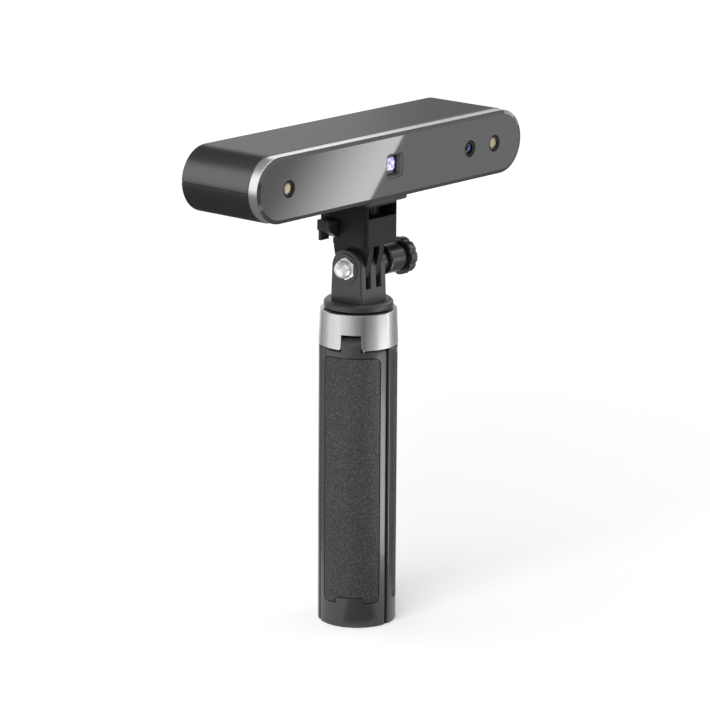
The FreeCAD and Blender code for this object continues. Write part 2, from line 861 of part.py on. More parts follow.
def flared_root():
    """Return a drawing function for a finger's root, which widens towards the block."""
    half = [("finger_radius", "tilt_axis"), ("finger_waist", "tilt_axis + finger_waist_rise"),
            ("finger_root", "block_bottom - finger_root_drop"), ("finger_root", "block_bottom")]
    return polygon(half + [(minus(y), z) for y, z in reversed(half)])


def thumb_wheel():
    """Make the ridged wheel that turns the mounting screw."""
    owner = new_body("thumb_wheel", "grip_place")
    turned(owner, [("thread_radius", "wheel_bottom"), ("wheel_radius", "wheel_bottom"),
                   ("wheel_radius", "wheel_top"), ("thread_radius", "wheel_top")])
    ridge = rod(owner, "Z", ("wheel_radius", "0", "wheel_bottom"), "wheel_height",
                "ridge_radius", cut=True)
    around(owner, [ridge], "wheel_ridges")
    return owner


def mount_screw():
    """Make the camera screw that stands in the wheel and holds the head."""
    owner = new_body("mount_screw", "grip_place")
    rod(owner, "Z", ("0", "0", "wheel_bottom"), "head_bottom + screw_reach - wheel_bottom",
        "thread_radius")
    return owner


def release_button():
    """Make the button with its tapered underside, lower lip and slotted stem."""
    owner = new_body("release_button", "grip_place")
    outer = minus("block_half_width + button_reach")
    low = "button_top - button_height"
    prism(owner, "XZ", "button_front", "button_front + button_width",
          polygon([(outer, "button_top"), ("button_inner", "button_top"),
                   ("button_inner", f"{low} - button_taper"),
                   ("button_inner - button_seat", f"{low} - button_taper"), (outer, low)]))
    box(owner, (f"{outer} + lip_setback", "button_inner"),
        ("button_front + button_width - lip_width", "button_front + button_width"),
        (f"{low} - button_taper - lip_drop", low))
    stem = ("stem_middle - stem_half_width", "stem_middle + stem_half_width")
    stem_low = "stem_top - stem_height"
    box(owner, ("button_inner - button_seat", "stem_end"), stem, (stem_low, "stem_top"))
    width = "(stop_pin_radius + stem_gap)"
    box(owner, (f"stop_pin_place - button_travel - {width}", f"stop_pin_place + {width}"),
        (f"stem_middle - {width}", f"stem_middle + {width}"),
        (f"{stem_low} - 1", "stem_top + 1"), cut=True)
    return owner


def stop_pin():
    """Make the pin that keeps the button in its channel."""
    owner = new_body("stop_pin", "grip_place")
    rod(owner, "Z", ("stop_pin_place", "stem_middle", "block_step"),
        "stem_top + stem_gap + stop_pin_bite - block_step", "stop_pin_radius")
    return owner


def button_spring():
    """Make the folded strip spring between the stem's end and the end of its channel."""
    owner = new_body("button_spring", "grip_place")
    line = []
    for index in range(int(number("spring_folds")) + 1):
        place = f"stem_end + {index} * spring_length / spring_folds"
        line.append((place, f"stem_top - stem_height / 2 + ({(-1) ** index}) * spring_half_height"))
    upper = [(place, f"{height} + spring_strip / 2") for place, height in line]
    lower = [(place, f"{height} - spring_strip / 2") for place, height in reversed(line)]
    prism(owner, "XZ", "stem_middle - spring_half_width", "stem_middle + spring_half_width",
          polygon(upper + lower))
    return owner


# ---------------------------------------------------------------- tilt joint

def clevis():
    """Make the foot disc with its three fingers, nut seat and bolt holes."""
    owner = new_body("clevis", "grip_place")
    turned(owner, [("0", "hub_top"), ("foot_stem_radius", "hub_top"),
                   ("foot_stem_radius", "disc_bottom"), ("disc_radius", "disc_bottom"),
                   ("disc_radius", "disc_bottom + disc_thickness"),
                   ("disc_radius - disc_bevel", "disc_top"), ("0", "disc_top")])
    left = minus("clevis_half_width")
    foot = "disc_top - disc_bevel"
    prism(owner, "YZ", left, "clevis_half_width",
          polygon([(minus("clevis_foot"), foot), ("clevis_foot", foot),
                   ("clevis_radius", "tilt_axis"), (minus("clevis_radius"), "tilt_axis")]))
    rod(owner, "X", (left, "0", "tilt_axis"), "2 * clevis_half_width", "clevis_radius")
    side = number("clevis_half_width")
    level = number("disc_top")
    rounded(owner, "clevis_corner",
            lambda points: all(abs(abs(p.x) - side) < 1e-4 and p.z > level - 0.01 for p in points)
            and max(p.z for p in points) > level + 1)
    rod(owner, "X", (f"{left} - nut_boss_height", "0", "tilt_axis"), "nut_boss_height + 1",
        "nut_boss_radius")
    for side_sign in (-1, 1):
        middle = f"({side_sign}) * finger_spread"
        box(owner, (f"{middle} - slot_width / 2", f"{middle} + slot_width / 2"),
            (minus("2 * clevis_radius"), "2 * clevis_radius"),
            ("tilt_axis - slot_depth", "tilt_axis + 2 * clevis_radius"), cut=True)
    rod(owner, "X", (f"{left} - nut_boss_height - 1", "0", "tilt_axis"), "3 * clevis_half_width",
        "bolt_radius + bolt_clearance", cut=True)
    prism(owner, "YZ", f"{left} - nut_boss_height - 1", minus("nut_face"),
          hexagon("nut_across / 2 + fit_gap", "tilt_axis"), cut=True)
    rod(owner, "Z", ("0", "0", "hub_top"), "hub_bolt_reach", "hub_bolt_radius", cut=True)
    return owner


def hexagon(inner_radius, height):
    """Return a drawing function for a hexagon with two corners up and down."""
    corners = []
    for index in range(6):
        angle = 30 + 60 * index
        reach = f"({inner_radius}) / cos(30)"
        corners.append((f"{reach} * cos({angle})", f"{height} + {reach} * sin({angle})"))
    return polygon(corners)


def dome_nut():
    """Make the domed nut with its blind bore."""
    owner = new_body("dome_nut", "grip_place", "tilt_axis")
    face = minus("nut_face")
    prism(owner, "YZ", f"{face} - nut_hex_height", face, hexagon("nut_across / 2", "0"))
    rod(owner, "X", (f"{face} - nut_height", "0", "0"), "nut_height", "nut_dome_radius")
    rounded(owner, "nut_dome_radius - nut_dome_flat", all_at(x=f"{face} - nut_height"))
    rod(owner, "X", (f"{face} - nut_bore", "0", "0"), "nut_bore", "bolt_radius + bolt_clearance",
        cut=True)
    return owner


def clamp_bolt():
    """Make the bolt that the knob turns."""
    owner = new_body("clamp_bolt", "grip_place", "tilt_axis")
    start = minus("nut_face + bolt_nut_reach")
    rod(owner, "X", (start, "0", "0"), f"knob_start + bolt_knob_reach - {start}", "bolt_radius")
    return owner


def clamp_washer():
    """Make the washer between the knob and the clevis."""
    owner = new_body("clamp_washer", "grip_place", "tilt_axis")
    prism(owner, "YZ", "knob_start - washer_thickness", "knob_start",
          circle("0", "0", "washer_radius"), circle("0", "0", "bolt_radius"))
    return owner


def clamp_knob():
    """Make the thumb knob: neck, rounded hub, groove and fluted flange."""
    owner = new_body("clamp_knob", "grip_place", "tilt_axis")
    rod(owner, "X", ("hub_start", "0", "0"), "knob_hub_length", "knob_hub_radius")
    rounded(owner, "knob_hub_round", all_at(x="hub_start"))
    rounded(owner, "knob_hub_round", all_at(x="groove_start"))
    rod(owner, "X", ("knob_start", "0", "0"), "knob_neck_length + 1", "knob_neck_radius")
    rod(owner, "X", ("groove_start - 1", "0", "0"), "knob_groove_width + 2",
        "knob_groove_radius")
    rod(owner, "X", ("flange_start", "0", "0"), "knob_flange_width", "knob_flange_radius")
    flange_end = "flange_start + knob_flange_width"
    rounded(owner, "knob_flange_round", all_at(x=flange_end))
    flute = rod(owner, "X", ("flange_start - knob_groove_width / 2", "0",
                             "knob_flange_radius + flute_radius - flute_depth"),
                "knob_flange_width + knob_groove_width", "flute_radius", cut=True)
    around(owner, [flute], "knob_flutes", "X_Axis")
    rod(owner, "X", ("knob_start", "0", "0"), "bolt_knob_reach", "bolt_radius", cut=True)
    return owner


# ---------------------------------------------------------------- collar, hub and legs

def collar():
    """Make the silver collar with three notches for the legs' tongues."""
    owner = new_body("collar", "grip_place")
    lip_low = "collar_top - collar_lip_height"
    turned(owner, [("collar_bore", "collar_bottom"), ("collar_bottom_radius", "collar_bottom"),
                   ("collar_top_radius", "collar_top"), ("collar_bore - collar_lip", "collar_top"),
                   ("collar_bore - collar_lip", lip_low), ("collar_bore", lip_low)])
    notch = box(owner, ("core_radius", "2 * collar_bottom_radius"),
                (minus("notch_half_width"), "notch_half_width"),
                ("collar_bottom - 1", "hub_notch_top"), cut=True)
    around(owner, [notch], "3")
    owner.Placement.Rotation = Rotation(Vector(0, 0, 1), 90)
    return owner


def hub_core():
    """Make the hub inside the collar: slots for the tongues and bores for their pins."""
    owner = new_body("hub_core", "grip_place")
    outer = "collar_bore - fit_gap"
    turned(owner, [("hub_bolt_radius", "collar_bottom"), (outer, "collar_bottom"),
                   (outer, "hub_top"), ("hub_bolt_radius", "hub_top")])
    rod(owner, "Z", ("0", "0", "collar_bottom"), "hub_bolt_head_height",
        "hub_bolt_head_radius + fit_gap", cut=True)
    notch = box(owner, ("core_radius", "2 * collar_bottom_radius"),
                (minus("notch_half_width"), "notch_half_width"),
                ("collar_bottom - 1", "hub_notch_top"), cut=True)
    around(owner, [notch], "3")
    bore = rod(owner, "Y", ("pivot_radius", minus("pin_half_length"), "pivot_height"),
               "2 * pin_half_length", "pin_radius", cut=True)
    around(owner, [bore], "3")
    owner.Placement.Rotation = Rotation(Vector(0, 0, 1), 90)
    return owner


def hub_bolt():
    """Make the bolt that holds hub and clevis together."""
    owner = new_body("hub_bolt", "grip_place")
    rod(owner, "Z", ("0", "0", "collar_bottom"), "hub_bolt_head_height", "hub_bolt_head_radius")
    rod(owner, "Z", ("0", "0", "collar_bottom"), "hub_top + hub_bolt_reach - collar_bottom",
        "hub_bolt_radius")
    return owner


PAD_GAP_ANGLE = "360 * pad_side_gap / (3.14159 * leg_radius)"
LEG_DIRECTIONS = {"rear": 90, "left": 210, "right": 330}


def hinge_pins():
    """Make the three leg pins."""
    pins = []
    for direction in LEG_DIRECTIONS.values():
        pin = doc.addObject("Part::Cylinder", "Pin")
        bind(pin, "Radius", "pin_radius")
        bind(pin, "Height", "2 * pin_half_length")
        turn = Rotation(Vector(0, 0, 1), direction).multiply(TURN["Y"])
        along = f"pivot_radius * cos({direction}) + pin_half_length * sin({direction})"
        across = f"pivot_radius * sin({direction}) - pin_half_length * cos({direction})"
        locate(pin, along, f"grip_place + {across}", "pivot_height", turn)
        pins.append(pin)
    return group("hinge_pins", pins)


def leg(name, direction):
    """Make one leg: a third of the round grip, with the tongue that its pin passes through."""
    owner = new_body(f"{name}_leg", "grip_place")
    inner = "leg_radius - leg_wall"
    turned(owner, [("leg_floor_radius", "0"), ("leg_radius - leg_foot_bevel", "0"),
                   ("leg_radius", "leg_foot_bevel"), ("leg_radius", "leg_height"),
                   (inner, "leg_height"), (inner, "leg_floor"), ("leg_floor_radius", "leg_floor")],
           angle="2 * leg_half_angle")
    top = number("leg_height")
    rounded(owner, "leg_shoulder",
            lambda points: all(abs(p.z - top) < 1e-4 for p in points)
            and abs(points[0].cross(points[2]).z) < 1e-3)
    for side in (1, -1):
        relief = feature(owner, "Cone", True)
        bind(relief, "Radius1", "relief_start")
        bind(relief, "Radius2", "relief_end")
        bind(relief, "Height", "relief_length")
        locate(relief, "pivot_radius", f"({side}) * tongue_half_width", "pivot_height",
               Rotation(Vector(1, 0, 0), -90 * side))
    width = (minus("tongue_half_width"), "tongue_half_width")
    box(owner, ("pivot_radius - tongue_radius", "leg_radius"), width,
        ("leg_height - tongue_root", "pivot_height"))
    rod(owner, "Y", ("pivot_radius", width[0], "pivot_height"), "2 * tongue_half_width",
        "tongue_radius")
    turned(owner, [("leg_radius", "leg_height - 2 * tongue_root"),
                   ("2 * leg_radius", "leg_height - 2 * tongue_root"),
                   ("2 * leg_radius", "leg_height + 2 * tongue_root"),
                   ("leg_radius", "leg_height + 2 * tongue_root")], cut=True)
    rod(owner, "Y", ("pivot_radius", minus("leg_radius"), "pivot_height"), "2 * leg_radius",
        "pin_radius + pin_clearance", cut=True)
    turned(owner, pad_outline("pad_side_gap", "1"), cut=True,
           angle=f"2 * pad_half_angle + {PAD_GAP_ANGLE}")
    turned(owner, [(inner, "pad_bottom - 2 * pad_side_gap"),
                   ("leg_radius", "pad_bottom - 2 * pad_side_gap"),
                   ("leg_radius", "pad_bottom + pad_tab_rise - pad_side_gap"),
                   (inner, "pad_bottom + pad_tab_rise - pad_side_gap")],
           angle=f"2 * pad_tab_half_angle - {PAD_GAP_ANGLE}")
    owner.Placement.Rotation = Rotation(Vector(0, 0, 1), direction)
    return owner


def pad_outline(gap, proud):
    """Return the section of the grip pad, or of its recess when it has a gap around it."""
    inner = "leg_radius - pad_thickness"
    outer = f"leg_radius + {proud}"
    low = f"pad_bottom - {gap}"
    high = f"pad_top + {gap}"
    return [(inner, low), (outer, low), (outer, high), (inner, high)]


def leg_pad(name, direction):
    """Make the soft grip pad in the recess of a leg."""
    owner = new_body(f"{name}_leg_pad", "grip_place")
    turned(owner, pad_outline("0", "0"), angle="2 * pad_half_angle")
    turned(owner, [("leg_radius - 2 * pad_thickness", "pad_bottom - 1"),
                   ("2 * leg_radius", "pad_bottom - 1"),
                   ("2 * leg_radius", "pad_bottom + pad_tab_rise"),
                   ("leg_radius - 2 * pad_thickness", "pad_bottom + pad_tab_rise")],
           cut=True, angle="2 * pad_tab_half_angle")
    owner.Placement.Rotation = Rotation(Vector(0, 0, 1), direction)
    return owner


def make_parts():
    """Build every sub-part and return them in order."""
    parts = [housing("upper_housing", True), housing("lower_housing", False), front_bezel(),
             glass_gasket(), front_glass(),
             camera("left_infrared_camera", minus("infrared_offset"), "infrared_lens"),
             camera("right_infrared_camera", "infrared_offset", "infrared_lens"),
             camera("colour_camera", "colour_offset", "colour_lens"),
             group("infrared_lenses", [lens_solid(minus("infrared_offset"), "infrared_lens"),
                                       lens_solid("infrared_offset", "infrared_lens")]),
             group("colour_lens", [lens_solid("colour_offset", "colour_lens")]),
             projector_frame(), projector_window(), projector_module(), carrier(), main_board(),
             board_chips(), rear_cover(), cable_socket(), socket_board(), status_light(),
             housing_screws(), thread_insert(),
             plate("mount_plate", "block_top", "plate_top", "0"),
             plate("mount_pad", "plate_top", "head_bottom", "rubber_inset"),
             bracket_block(), thumb_wheel(), mount_screw(), release_button(), stop_pin(),
             button_spring(), clevis(), dome_nut(), clamp_bolt(), clamp_washer(), clamp_knob(),
             collar(), hub_core(), hub_bolt(), hinge_pins()]
    for name, direction in LEG_DIRECTIONS.items():
        parts.append(leg(name, direction))
        parts.append(leg_pad(name, direction))
    return parts


def check(parts):
    """Stop if any object failed or any sub-part is empty or not valid."""
    for item in doc.Objects:
        if "Invalid" in item.State or "Error" in item.State:
            raise RuntimeError(f"{item.Label} failed: {item.State}")
    for part in parts:
        if part.Shape.isNull() or not part.Shape.isValid() or not part.Shape.Solids:
            raise RuntimeError(f"{part.Label} has no valid solid")


def export(parts):
    """Write one STEP file for each sub-part."""
    os.makedirs("parts", exist_ok=True)
    for part in parts:
        part.Shape.exportStep(f"parts/{part.Label}.step")


made = make_parts()
doc.recompute()
check(made)
export(made)
for piece in made:
    size = piece.Shape.BoundBox
    print(f"{piece.Label:24s} {len(piece.Shape.Solids)} solid(s) {piece.Shape.Volume:9.1f} mm3 "
          f"X {size.XMin:.2f}..{size.XMax:.2f} Y {size.YMin:.2f}..{size.YMax:.2f} "
          f"Z {size.ZMin:.2f}..{size.ZMax:.2f}")
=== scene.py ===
"""Looks of a hand-held 3D scanner: a bar-shaped scanning head on a tilt joint and a tripod grip.

Lengths in the classes are in millimetres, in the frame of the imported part. Meshes, and the
places in the studio, are in metres.
"""

import logging
import math
from dataclasses import dataclass, replace
from enum import Enum

import bmesh
import bpy
import numpy as np
from mathutils import Matrix


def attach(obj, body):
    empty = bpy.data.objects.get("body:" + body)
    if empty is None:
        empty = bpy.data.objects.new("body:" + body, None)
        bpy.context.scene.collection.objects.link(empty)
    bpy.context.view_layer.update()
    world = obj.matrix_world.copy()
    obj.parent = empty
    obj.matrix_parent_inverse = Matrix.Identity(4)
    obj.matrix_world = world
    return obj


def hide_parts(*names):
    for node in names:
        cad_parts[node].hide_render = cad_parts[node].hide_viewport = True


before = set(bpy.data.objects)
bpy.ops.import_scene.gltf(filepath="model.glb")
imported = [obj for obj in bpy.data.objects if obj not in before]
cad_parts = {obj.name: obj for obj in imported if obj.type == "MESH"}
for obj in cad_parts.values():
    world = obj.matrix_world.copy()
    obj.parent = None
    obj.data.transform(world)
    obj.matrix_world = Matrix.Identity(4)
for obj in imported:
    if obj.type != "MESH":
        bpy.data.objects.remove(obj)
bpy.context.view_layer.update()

Colour = tuple[float, float, float, float]
Flat = tuple[float, float]
Point = tuple[float, float, float]
Node = bpy.types.Node
Piece = bpy.types.Object
Socket = bpy.types.NodeSocket
Tree = bpy.types.NodeTree

LOG = logging.getLogger("scanner")
MM = 0.001
GRIP_Y = -1.25
GRIP_RADIUS = 15.3
HEAD_MIDDLE = 183.5
TILT_HEIGHT = 141.8
WHITE = "#ffffff"


def linear(colour: str) -> Colour:
    """Turn an sRGB hex colour, written as #rrggbb, into linear light with an alpha of 1."""
    share = np.array([int(colour[start:start + 2], 16) for start in (1, 3, 5)]) / 255
    light = np.where(share <= 0.04045, share / 12.92, ((share + 0.055) / 1.055) ** 2.4)
    return (*map(float, light), 1.0)


def shade(colour: str, share: float) -> Colour:
    """Return a hex colour in linear light, made lighter or darker by a share."""
    return tuple(min(1.0, part * share) for part in linear(colour)[:3]) + (1.0,)


def blank(holder: bpy.types.ID) -> Tree:
    """Return the emptied node tree of a material or of the world."""
    holder.use_nodes = True
    holder.node_tree.nodes.clear()
    return holder.node_tree


def feed(tree: Tree, node: Node, inputs: dict) -> None:
    """Set or link a node's inputs.

    Args:
        tree: Node tree of a material or of the world.
        node: Node to feed.
        inputs: Socket name or number, with a value, an output socket, or a node whose first
            output in use is meant.
    """
    for key, value in inputs.items():
        if isinstance(value, Node):
            value = next(output for output in value.outputs if output.enabled)
        if isinstance(value, Socket):
            tree.links.new(value, node.inputs[key])
        else:
            node.inputs[key].default_value = value


def add(tree: Tree, kind: str, inputs: dict | None = None, **settings: object) -> Node:
    """Add a node to a tree.

    Args:
        tree: Node tree of a material or of the world.
        kind: Blender's type name of the node, without its first part, "ShaderNode".
        inputs: What feeds its inputs, as for feed.
        **settings: Properties of the node.

    Returns:
        The new node.
    """
    node = tree.nodes.new("ShaderNode" + kind)
    for key, value in settings.items():
        setattr(node, key, value)
    feed(tree, node, inputs or {})
    return node


# ---------------------------------------------------------------- finishes

@dataclass(frozen=True)
class Finish:
    """A real surface: its colour, its gloss, and its grain and mottling at their real sizes.

    The grain has a relief, the colour drifts by the mottling and the roughness by the wear.
    """

    name: str
    colour: str
    roughness: float
    metallic: float = 0.0
    ior: float = 1.5
    coat: float = 0.0
    grain: float = 0.35
    relief: float = 0.01
    mottling: float = 0.08
    mottle: float = 9.0
    wear: float = 0.06
    edge_tint: float = 1.0

    def material(self) -> bpy.types.Material:
        """Return this finish as a material, made once."""
        known = bpy.data.materials.get(self.name)
        if known:
            return known
        material = bpy.data.materials.new(self.name)
        tree = blank(material)
        place = add(tree, "TexCoord").outputs["Object"]
        shader = add(tree, "BsdfPrincipled", {
            "Base Color": linear(self.colour), "Roughness": self.roughness,
            "Metallic": self.metallic, "IOR": self.ior, "Coat Weight": self.coat,
            "Coat Roughness": 0.08, "Specular Tint": (*[self.edge_tint] * 3, 1.0)})
        feed(tree, shader, self.dress(tree, place))
        add(tree, "OutputMaterial", {"Surface": shader})
        material.diffuse_color = linear(self.colour)
        return material

    def dress(self, tree: Tree, place: Socket) -> dict[str, Node]:
        """Make mottled colour, uneven gloss and a fine grain.

        Args:
            tree: Node tree of the material.
            place: Object coordinates.

        Returns:
            What feeds each of the shader's inputs that varies over the surface.
        """
        smear = add(tree, "TexNoise", {
            "Vector": place, "Scale": 2.6 / (self.mottle * MM), "Detail": 5.0, "Roughness": 0.7})
        grit = add(tree, "TexNoise", {"Vector": place, "Scale": 1 / (self.grain * MM), "Detail": 2.0})
        gloss = add(tree, "MapRange", {"Value": smear, "To Min": self.roughness - self.wear,
                                       "To Max": self.roughness + self.wear})
        bump = add(tree, "Bump", {"Height": grit, "Distance": self.relief * MM})
        return {"Base Color": self.mottled(tree, place, 4.0), "Roughness": gloss, "Normal": bump}

    def mottled(self, tree: Tree, place: Socket, detail: float) -> Node:
        """Return the colour with soft clouds of a darker and a lighter shade."""
        cloud = add(tree, "TexNoise", {
            "Vector": place, "Scale": 1 / (self.mottle * MM), "Detail": detail})
        return add(tree, "Mix", {0: cloud, 6: shade(self.colour, 1 - self.mottling),
                                 7: shade(self.colour, 1 + self.mottling)}, data_type="RGBA")


@dataclass(frozen=True)
class PebbledRubber(Finish):
    """Soft-touch rubber from a mould with a pebbled face: round bumps with worn, paler tops."""

    pebble: float = 0.55
    height: float = 0.07
    tip: str = "#5c5c5a"

    def dress(self, tree: Tree, place: Socket) -> dict[str, Node]:
        """Make pebbles: cells with drifting edges, domed, and paler in patches on top."""
        drift = add(tree, "TexNoise", {"Vector": place, "Scale": 1 / (1.7 * MM), "Detail": 3.0})
        bent = add(tree, "Mix", {0: 0.6 * MM, 6: place, 7: drift.outputs["Color"]},
                   data_type="RGBA", blend_type="ADD")
        cell = add(tree, "TexVoronoi", {"Vector": bent, "Scale": 1 / (self.pebble * MM)},
                   feature="SMOOTH_F1")
        dome = add(tree, "MapRange", {
            "Value": cell, "From Min": 0.1, "From Max": 0.62, "To Min": 1.0, "To Max": 0.0},
            interpolation_type="SMOOTHSTEP")
        patch = add(tree, "TexNoise", {
            "Vector": place, "Scale": 1 / (0.9 * MM), "Detail": 4.0, "Roughness": 0.8})
        speck = add(tree, "MapRange", {"Value": patch, "From Min": 0.38, "From Max": 0.7})
        worn = add(tree, "Math", {0: speck, 1: dome}, operation="MULTIPLY")
        tint = add(tree, "Mix", {0: worn, 6: self.mottled(tree, place, 3.0), 7: linear(self.tip)},
                   data_type="RGBA")
        gloss = add(tree, "MapRange", {
            "Value": dome, "To Min": self.roughness + 0.1, "To Max": self.roughness - 0.06})
        bump = add(tree, "Bump", {"Height": dome, "Distance": self.height * MM})
        return {"Base Color": tint, "Roughness": gloss, "Normal": bump}


@dataclass(frozen=True)
class CoatedLens(Finish):
    """Polished lens with a vacuum-deposited coating, its colour paler at the centre and darker towards
    the rim; on the colour lens the blue centre is a painted glint.
    """

    rim: str = "#101018"
    centre: float = 0.0
    reach: float = 2.3

    def dress(self, tree: Tree, place: Socket) -> dict[str, Node]:
        """Make a tint that fades from the lens's centre to its rim, alike at both ends; on the colour
        lens the bright blue centre is a painted glint.
        """
        folded = add(tree, "VectorMath", {0: place}, operation="ABSOLUTE")
        centred = add(tree, "Mapping", {
            "Vector": folded, "Location": (-self.centre * MM, 0.0, -HEAD_MIDDLE * MM)})
        flat = add(tree, "VectorMath", {0: centred, 1: (1.0, 0.0, 1.0)}, operation="MULTIPLY")
        far = add(tree, "VectorMath", {0: flat}, operation="LENGTH")
        # Mask from the centre out to the rim; on the colour lens it bounds the painted glint.
        ring = add(tree, "MapRange", {
            "Value": far, "From Min": 0.55 * self.reach * MM, "From Max": self.reach * MM},
            interpolation_type="SMOOTHSTEP")
        dust = add(tree, "TexNoise", {"Vector": place, "Scale": 1 / (0.8 * MM), "Detail": 4.0})
        face = add(tree, "Mix", {0: dust, 6: shade(self.colour, 0.82), 7: shade(self.colour, 1.18)},
                   data_type="RGBA")
        tint = add(tree, "Mix", {0: ring, 6: face, 7: linear(self.rim)}, data_type="RGBA")
        return {"Base Color": tint}


@dataclass(frozen=True)
class PatternGlow(Finish):
    """Projector pane lit from behind: a speckled pattern of violet dots in white light."""

    violet: str = "#7a64c6"
    unlit: str = "#1c1c1f"
    glow: float = 0.85
    field: Flat = (2.3, 2.5)
    middle: Flat = (0.2, HEAD_MIDDLE + 0.2)

    def dress(self, tree: Tree, place: Socket) -> dict[str, Node]:
        """Make the dots, and the light that the pane gives off.

        The lit field is where the distances from its middle, over its half sizes and raised
        to the fourth power, add up to less than 1.
        """
        blot = add(tree, "TexNoise", {
            "Vector": place, "Scale": 1 / (1.3 * MM), "Detail": 3.0, "Roughness": 0.6})
        share = add(tree, "MapRange", {"Value": blot, "From Min": 0.42, "From Max": 0.58})
        tint = add(tree, "Mix", {0: share, 6: linear(self.colour), 7: linear(self.violet)},
                   data_type="RGBA")
        centred = add(tree, "Mapping", {
            "Vector": place, "Location": (-self.middle[0] * MM, 0.0, -self.middle[1] * MM)})
        scaled = add(tree, "VectorMath", {
            0: centred, 1: (1 / (self.field[0] * MM), 0.0, 1 / (self.field[1] * MM))},
            operation="MULTIPLY")
        square = add(tree, "VectorMath", {0: scaled, 1: scaled}, operation="MULTIPLY")
        total = add(tree, "VectorMath", {0: square, 1: square}, operation="DOT_PRODUCT")
        lit = add(tree, "MapRange", {
            "Value": total, "From Min": 0.75, "From Max": 1.15, "To Min": 1.0, "To Max": 0.0})
        shown = add(tree, "Mix", {0: lit, 6: linear(self.unlit), 7: tint}, data_type="RGBA")
        glow = add(tree, "Math", {0: lit, 1: self.glow}, operation="MULTIPLY")
        return {"Base Color": shown, "Emission Color": shown, "Emission Strength": glow}


@dataclass(frozen=True)
class CircuitBoard(Finish):
    """Glass-fibre board under green solder mask, with tracks that show as paler lines."""

    track: float = 1.4
    copper: float = 0.03

    def dress(self, tree: Tree, place: Socket) -> dict[str, Node]:
        """Make squared tracks, raised by the thickness of their copper."""
        grid = add(tree, "TexVoronoi", {"Vector": place, "Scale": 1 / (self.track * MM)},
                   distance="CHEBYCHEV", feature="F1")
        line = add(tree, "MapRange", {"Value": grid, "From Min": 0.42, "From Max": 0.5})
        tint = add(tree, "Mix", {0: line, 6: linear(self.colour), 7: shade(self.colour, 1.9)},
                   data_type="RGBA")
        bump = add(tree, "Bump", {"Height": line, "Distance": self.copper * MM})
        return {"Base Color": tint, "Normal": bump}


# Aluminium, bead-blasted and then anodised dark: a satin metal with a very fine even grain.
DARK_ALUMINIUM = Finish("blasted_anodised_aluminium_dark", "#6c6c6c", 0.3, metallic=1.0, grain=0.12,
                        relief=0.0002, mottling=0.03, mottle=24, wear=0.03, edge_tint=0.6)
# Aluminium, turned or milled, fine-blasted and anodised clear: a pale satin silver.
SILVER_ALUMINIUM = Finish("blasted_anodised_aluminium_silver", "#c8cac7", 0.3, metallic=1.0, grain=0.12,
                          relief=0.0002, mottling=0.03, mottle=14, wear=0.03)
# The same silver aluminium, made paler for the bezel: a painted highlight for the brighter reflection
# along its top.
SILVER_ALUMINIUM_PAINTED_HIGHLIGHT = replace(SILVER_ALUMINIUM, name="silver_aluminium_painted_highlight", colour="#ebede9")
# Float glass printed dark on its back and polished: smooth, with a faint unevenness of the print.
TINTED_GLASS = Finish("back_printed_glass", "#40413f", 0.025, ior=1.7, grain=6.0, relief=0.0004,
                      mottling=0.015, mottle=30, wear=0.004)
# Adhesive foam, die-cut: matt black with open pores.
BLACK_FOAM = Finish("die_cut_adhesive_foam", "#141414", 0.85, grain=0.25, relief=0.03)
# Aluminium barrel, turned and anodised black: satin with fine turning grain.
BLACK_ALUMINIUM = Finish("turned_anodised_aluminium_black", "#1d1d1e", 0.4, metallic=0.6, grain=0.15,
                         relief=0.004, mottling=0.05, mottle=4)
# ABS moulded against a spark-eroded tool: black, satin, with a fine even texture.
BLACK_ABS = Finish("textured_abs_black", "#202020", 0.42, ior=1.45, grain=0.3, relief=0.006, wear=0.05)
# The same ABS in grey, around the projector.
GREY_ABS = Finish("textured_abs_grey", "#5b5b5d", 0.45, grain=0.3, relief=0.004)
# ABS moulded against a polished tool: black and glossy, with faint ripples and handling marks.
GLOSS_ABS = Finish("polished_abs_black", "#1b1b1c", 0.3, coat=0.2, grain=1.4, relief=0.004, mottling=0.05,
                   wear=0.07)
# Glass-filled nylon, moulded: dark grey, satin, with the faint flow mottling of the fibres.
NYLON = Finish("glass_filled_nylon_grey", "#2e2e2f", 0.34, grain=0.4, relief=0.006, mottling=0.05,
               mottle=5)
# The same nylon in black, moulded against a duller tool.
BLACK_NYLON = Finish("glass_filled_nylon_black", "#101011", 0.45, ior=1.3, grain=0.4, relief=0.008,
                     mottling=0.06, mottle=5)
# Leg nylon: the same moulding compound, painted with a soft satin lacquer.
LEG_NYLON = Finish("lacquered_nylon_grey", "#323233", 0.33, coat=0.2, grain=0.5, relief=0.004,
                   mottling=0.04, mottle=10)
# Rubber moulded against an etched tool: matt pebbles, rubbed paler by hands.
GRIP_RUBBER = PebbledRubber("pebbled_soft_touch_rubber", "#232322", 0.58, mottling=0.07, mottle=7)
# Rubber pressed in a plain tool: matt, with a faint skin.
SOFT_RUBBER = Finish("moulded_rubber_black", "#1c1c1c", 0.7, grain=0.4, relief=0.02)
# Brass plated with bright nickel and chrome: a mirror with faint ripples.
CHROME = Finish("bright_chrome_plate", "#f2f3f3", 0.14, metallic=0.4, grain=1.2, relief=0.003,
                mottling=0.02, mottle=3, wear=0.03)
# Steel with passivated zinc: grey metal with a cloudy sheen.
ZINC_STEEL = Finish("zinc_plated_steel", "#a9abad", 0.3, metallic=1.0, grain=0.3, relief=0.004,
                    mottling=0.08, mottle=2.5)
# Brass, turned and left bare: warm metal with fine turning grain.
BRASS = Finish("turned_brass", "#c09a52", 0.28, metallic=1.0, grain=0.2, relief=0.004, mottling=0.06,
               mottle=3)
# Steel sheet, drawn and nickel-plated: smooth and slightly warm.
NICKEL_SHELL = Finish("nickel_plated_shell", "#c4c2bc", 0.22, metallic=1.0, grain=0.3, relief=0.003,
                      mottling=0.05, mottle=3)
# Polycarbonate moulded against a frosted tool, so that it spreads the light behind it.
LIGHT_GUIDE = Finish("frosted_polycarbonate", "#cfe6da", 0.35, grain=0.3, relief=0.005)
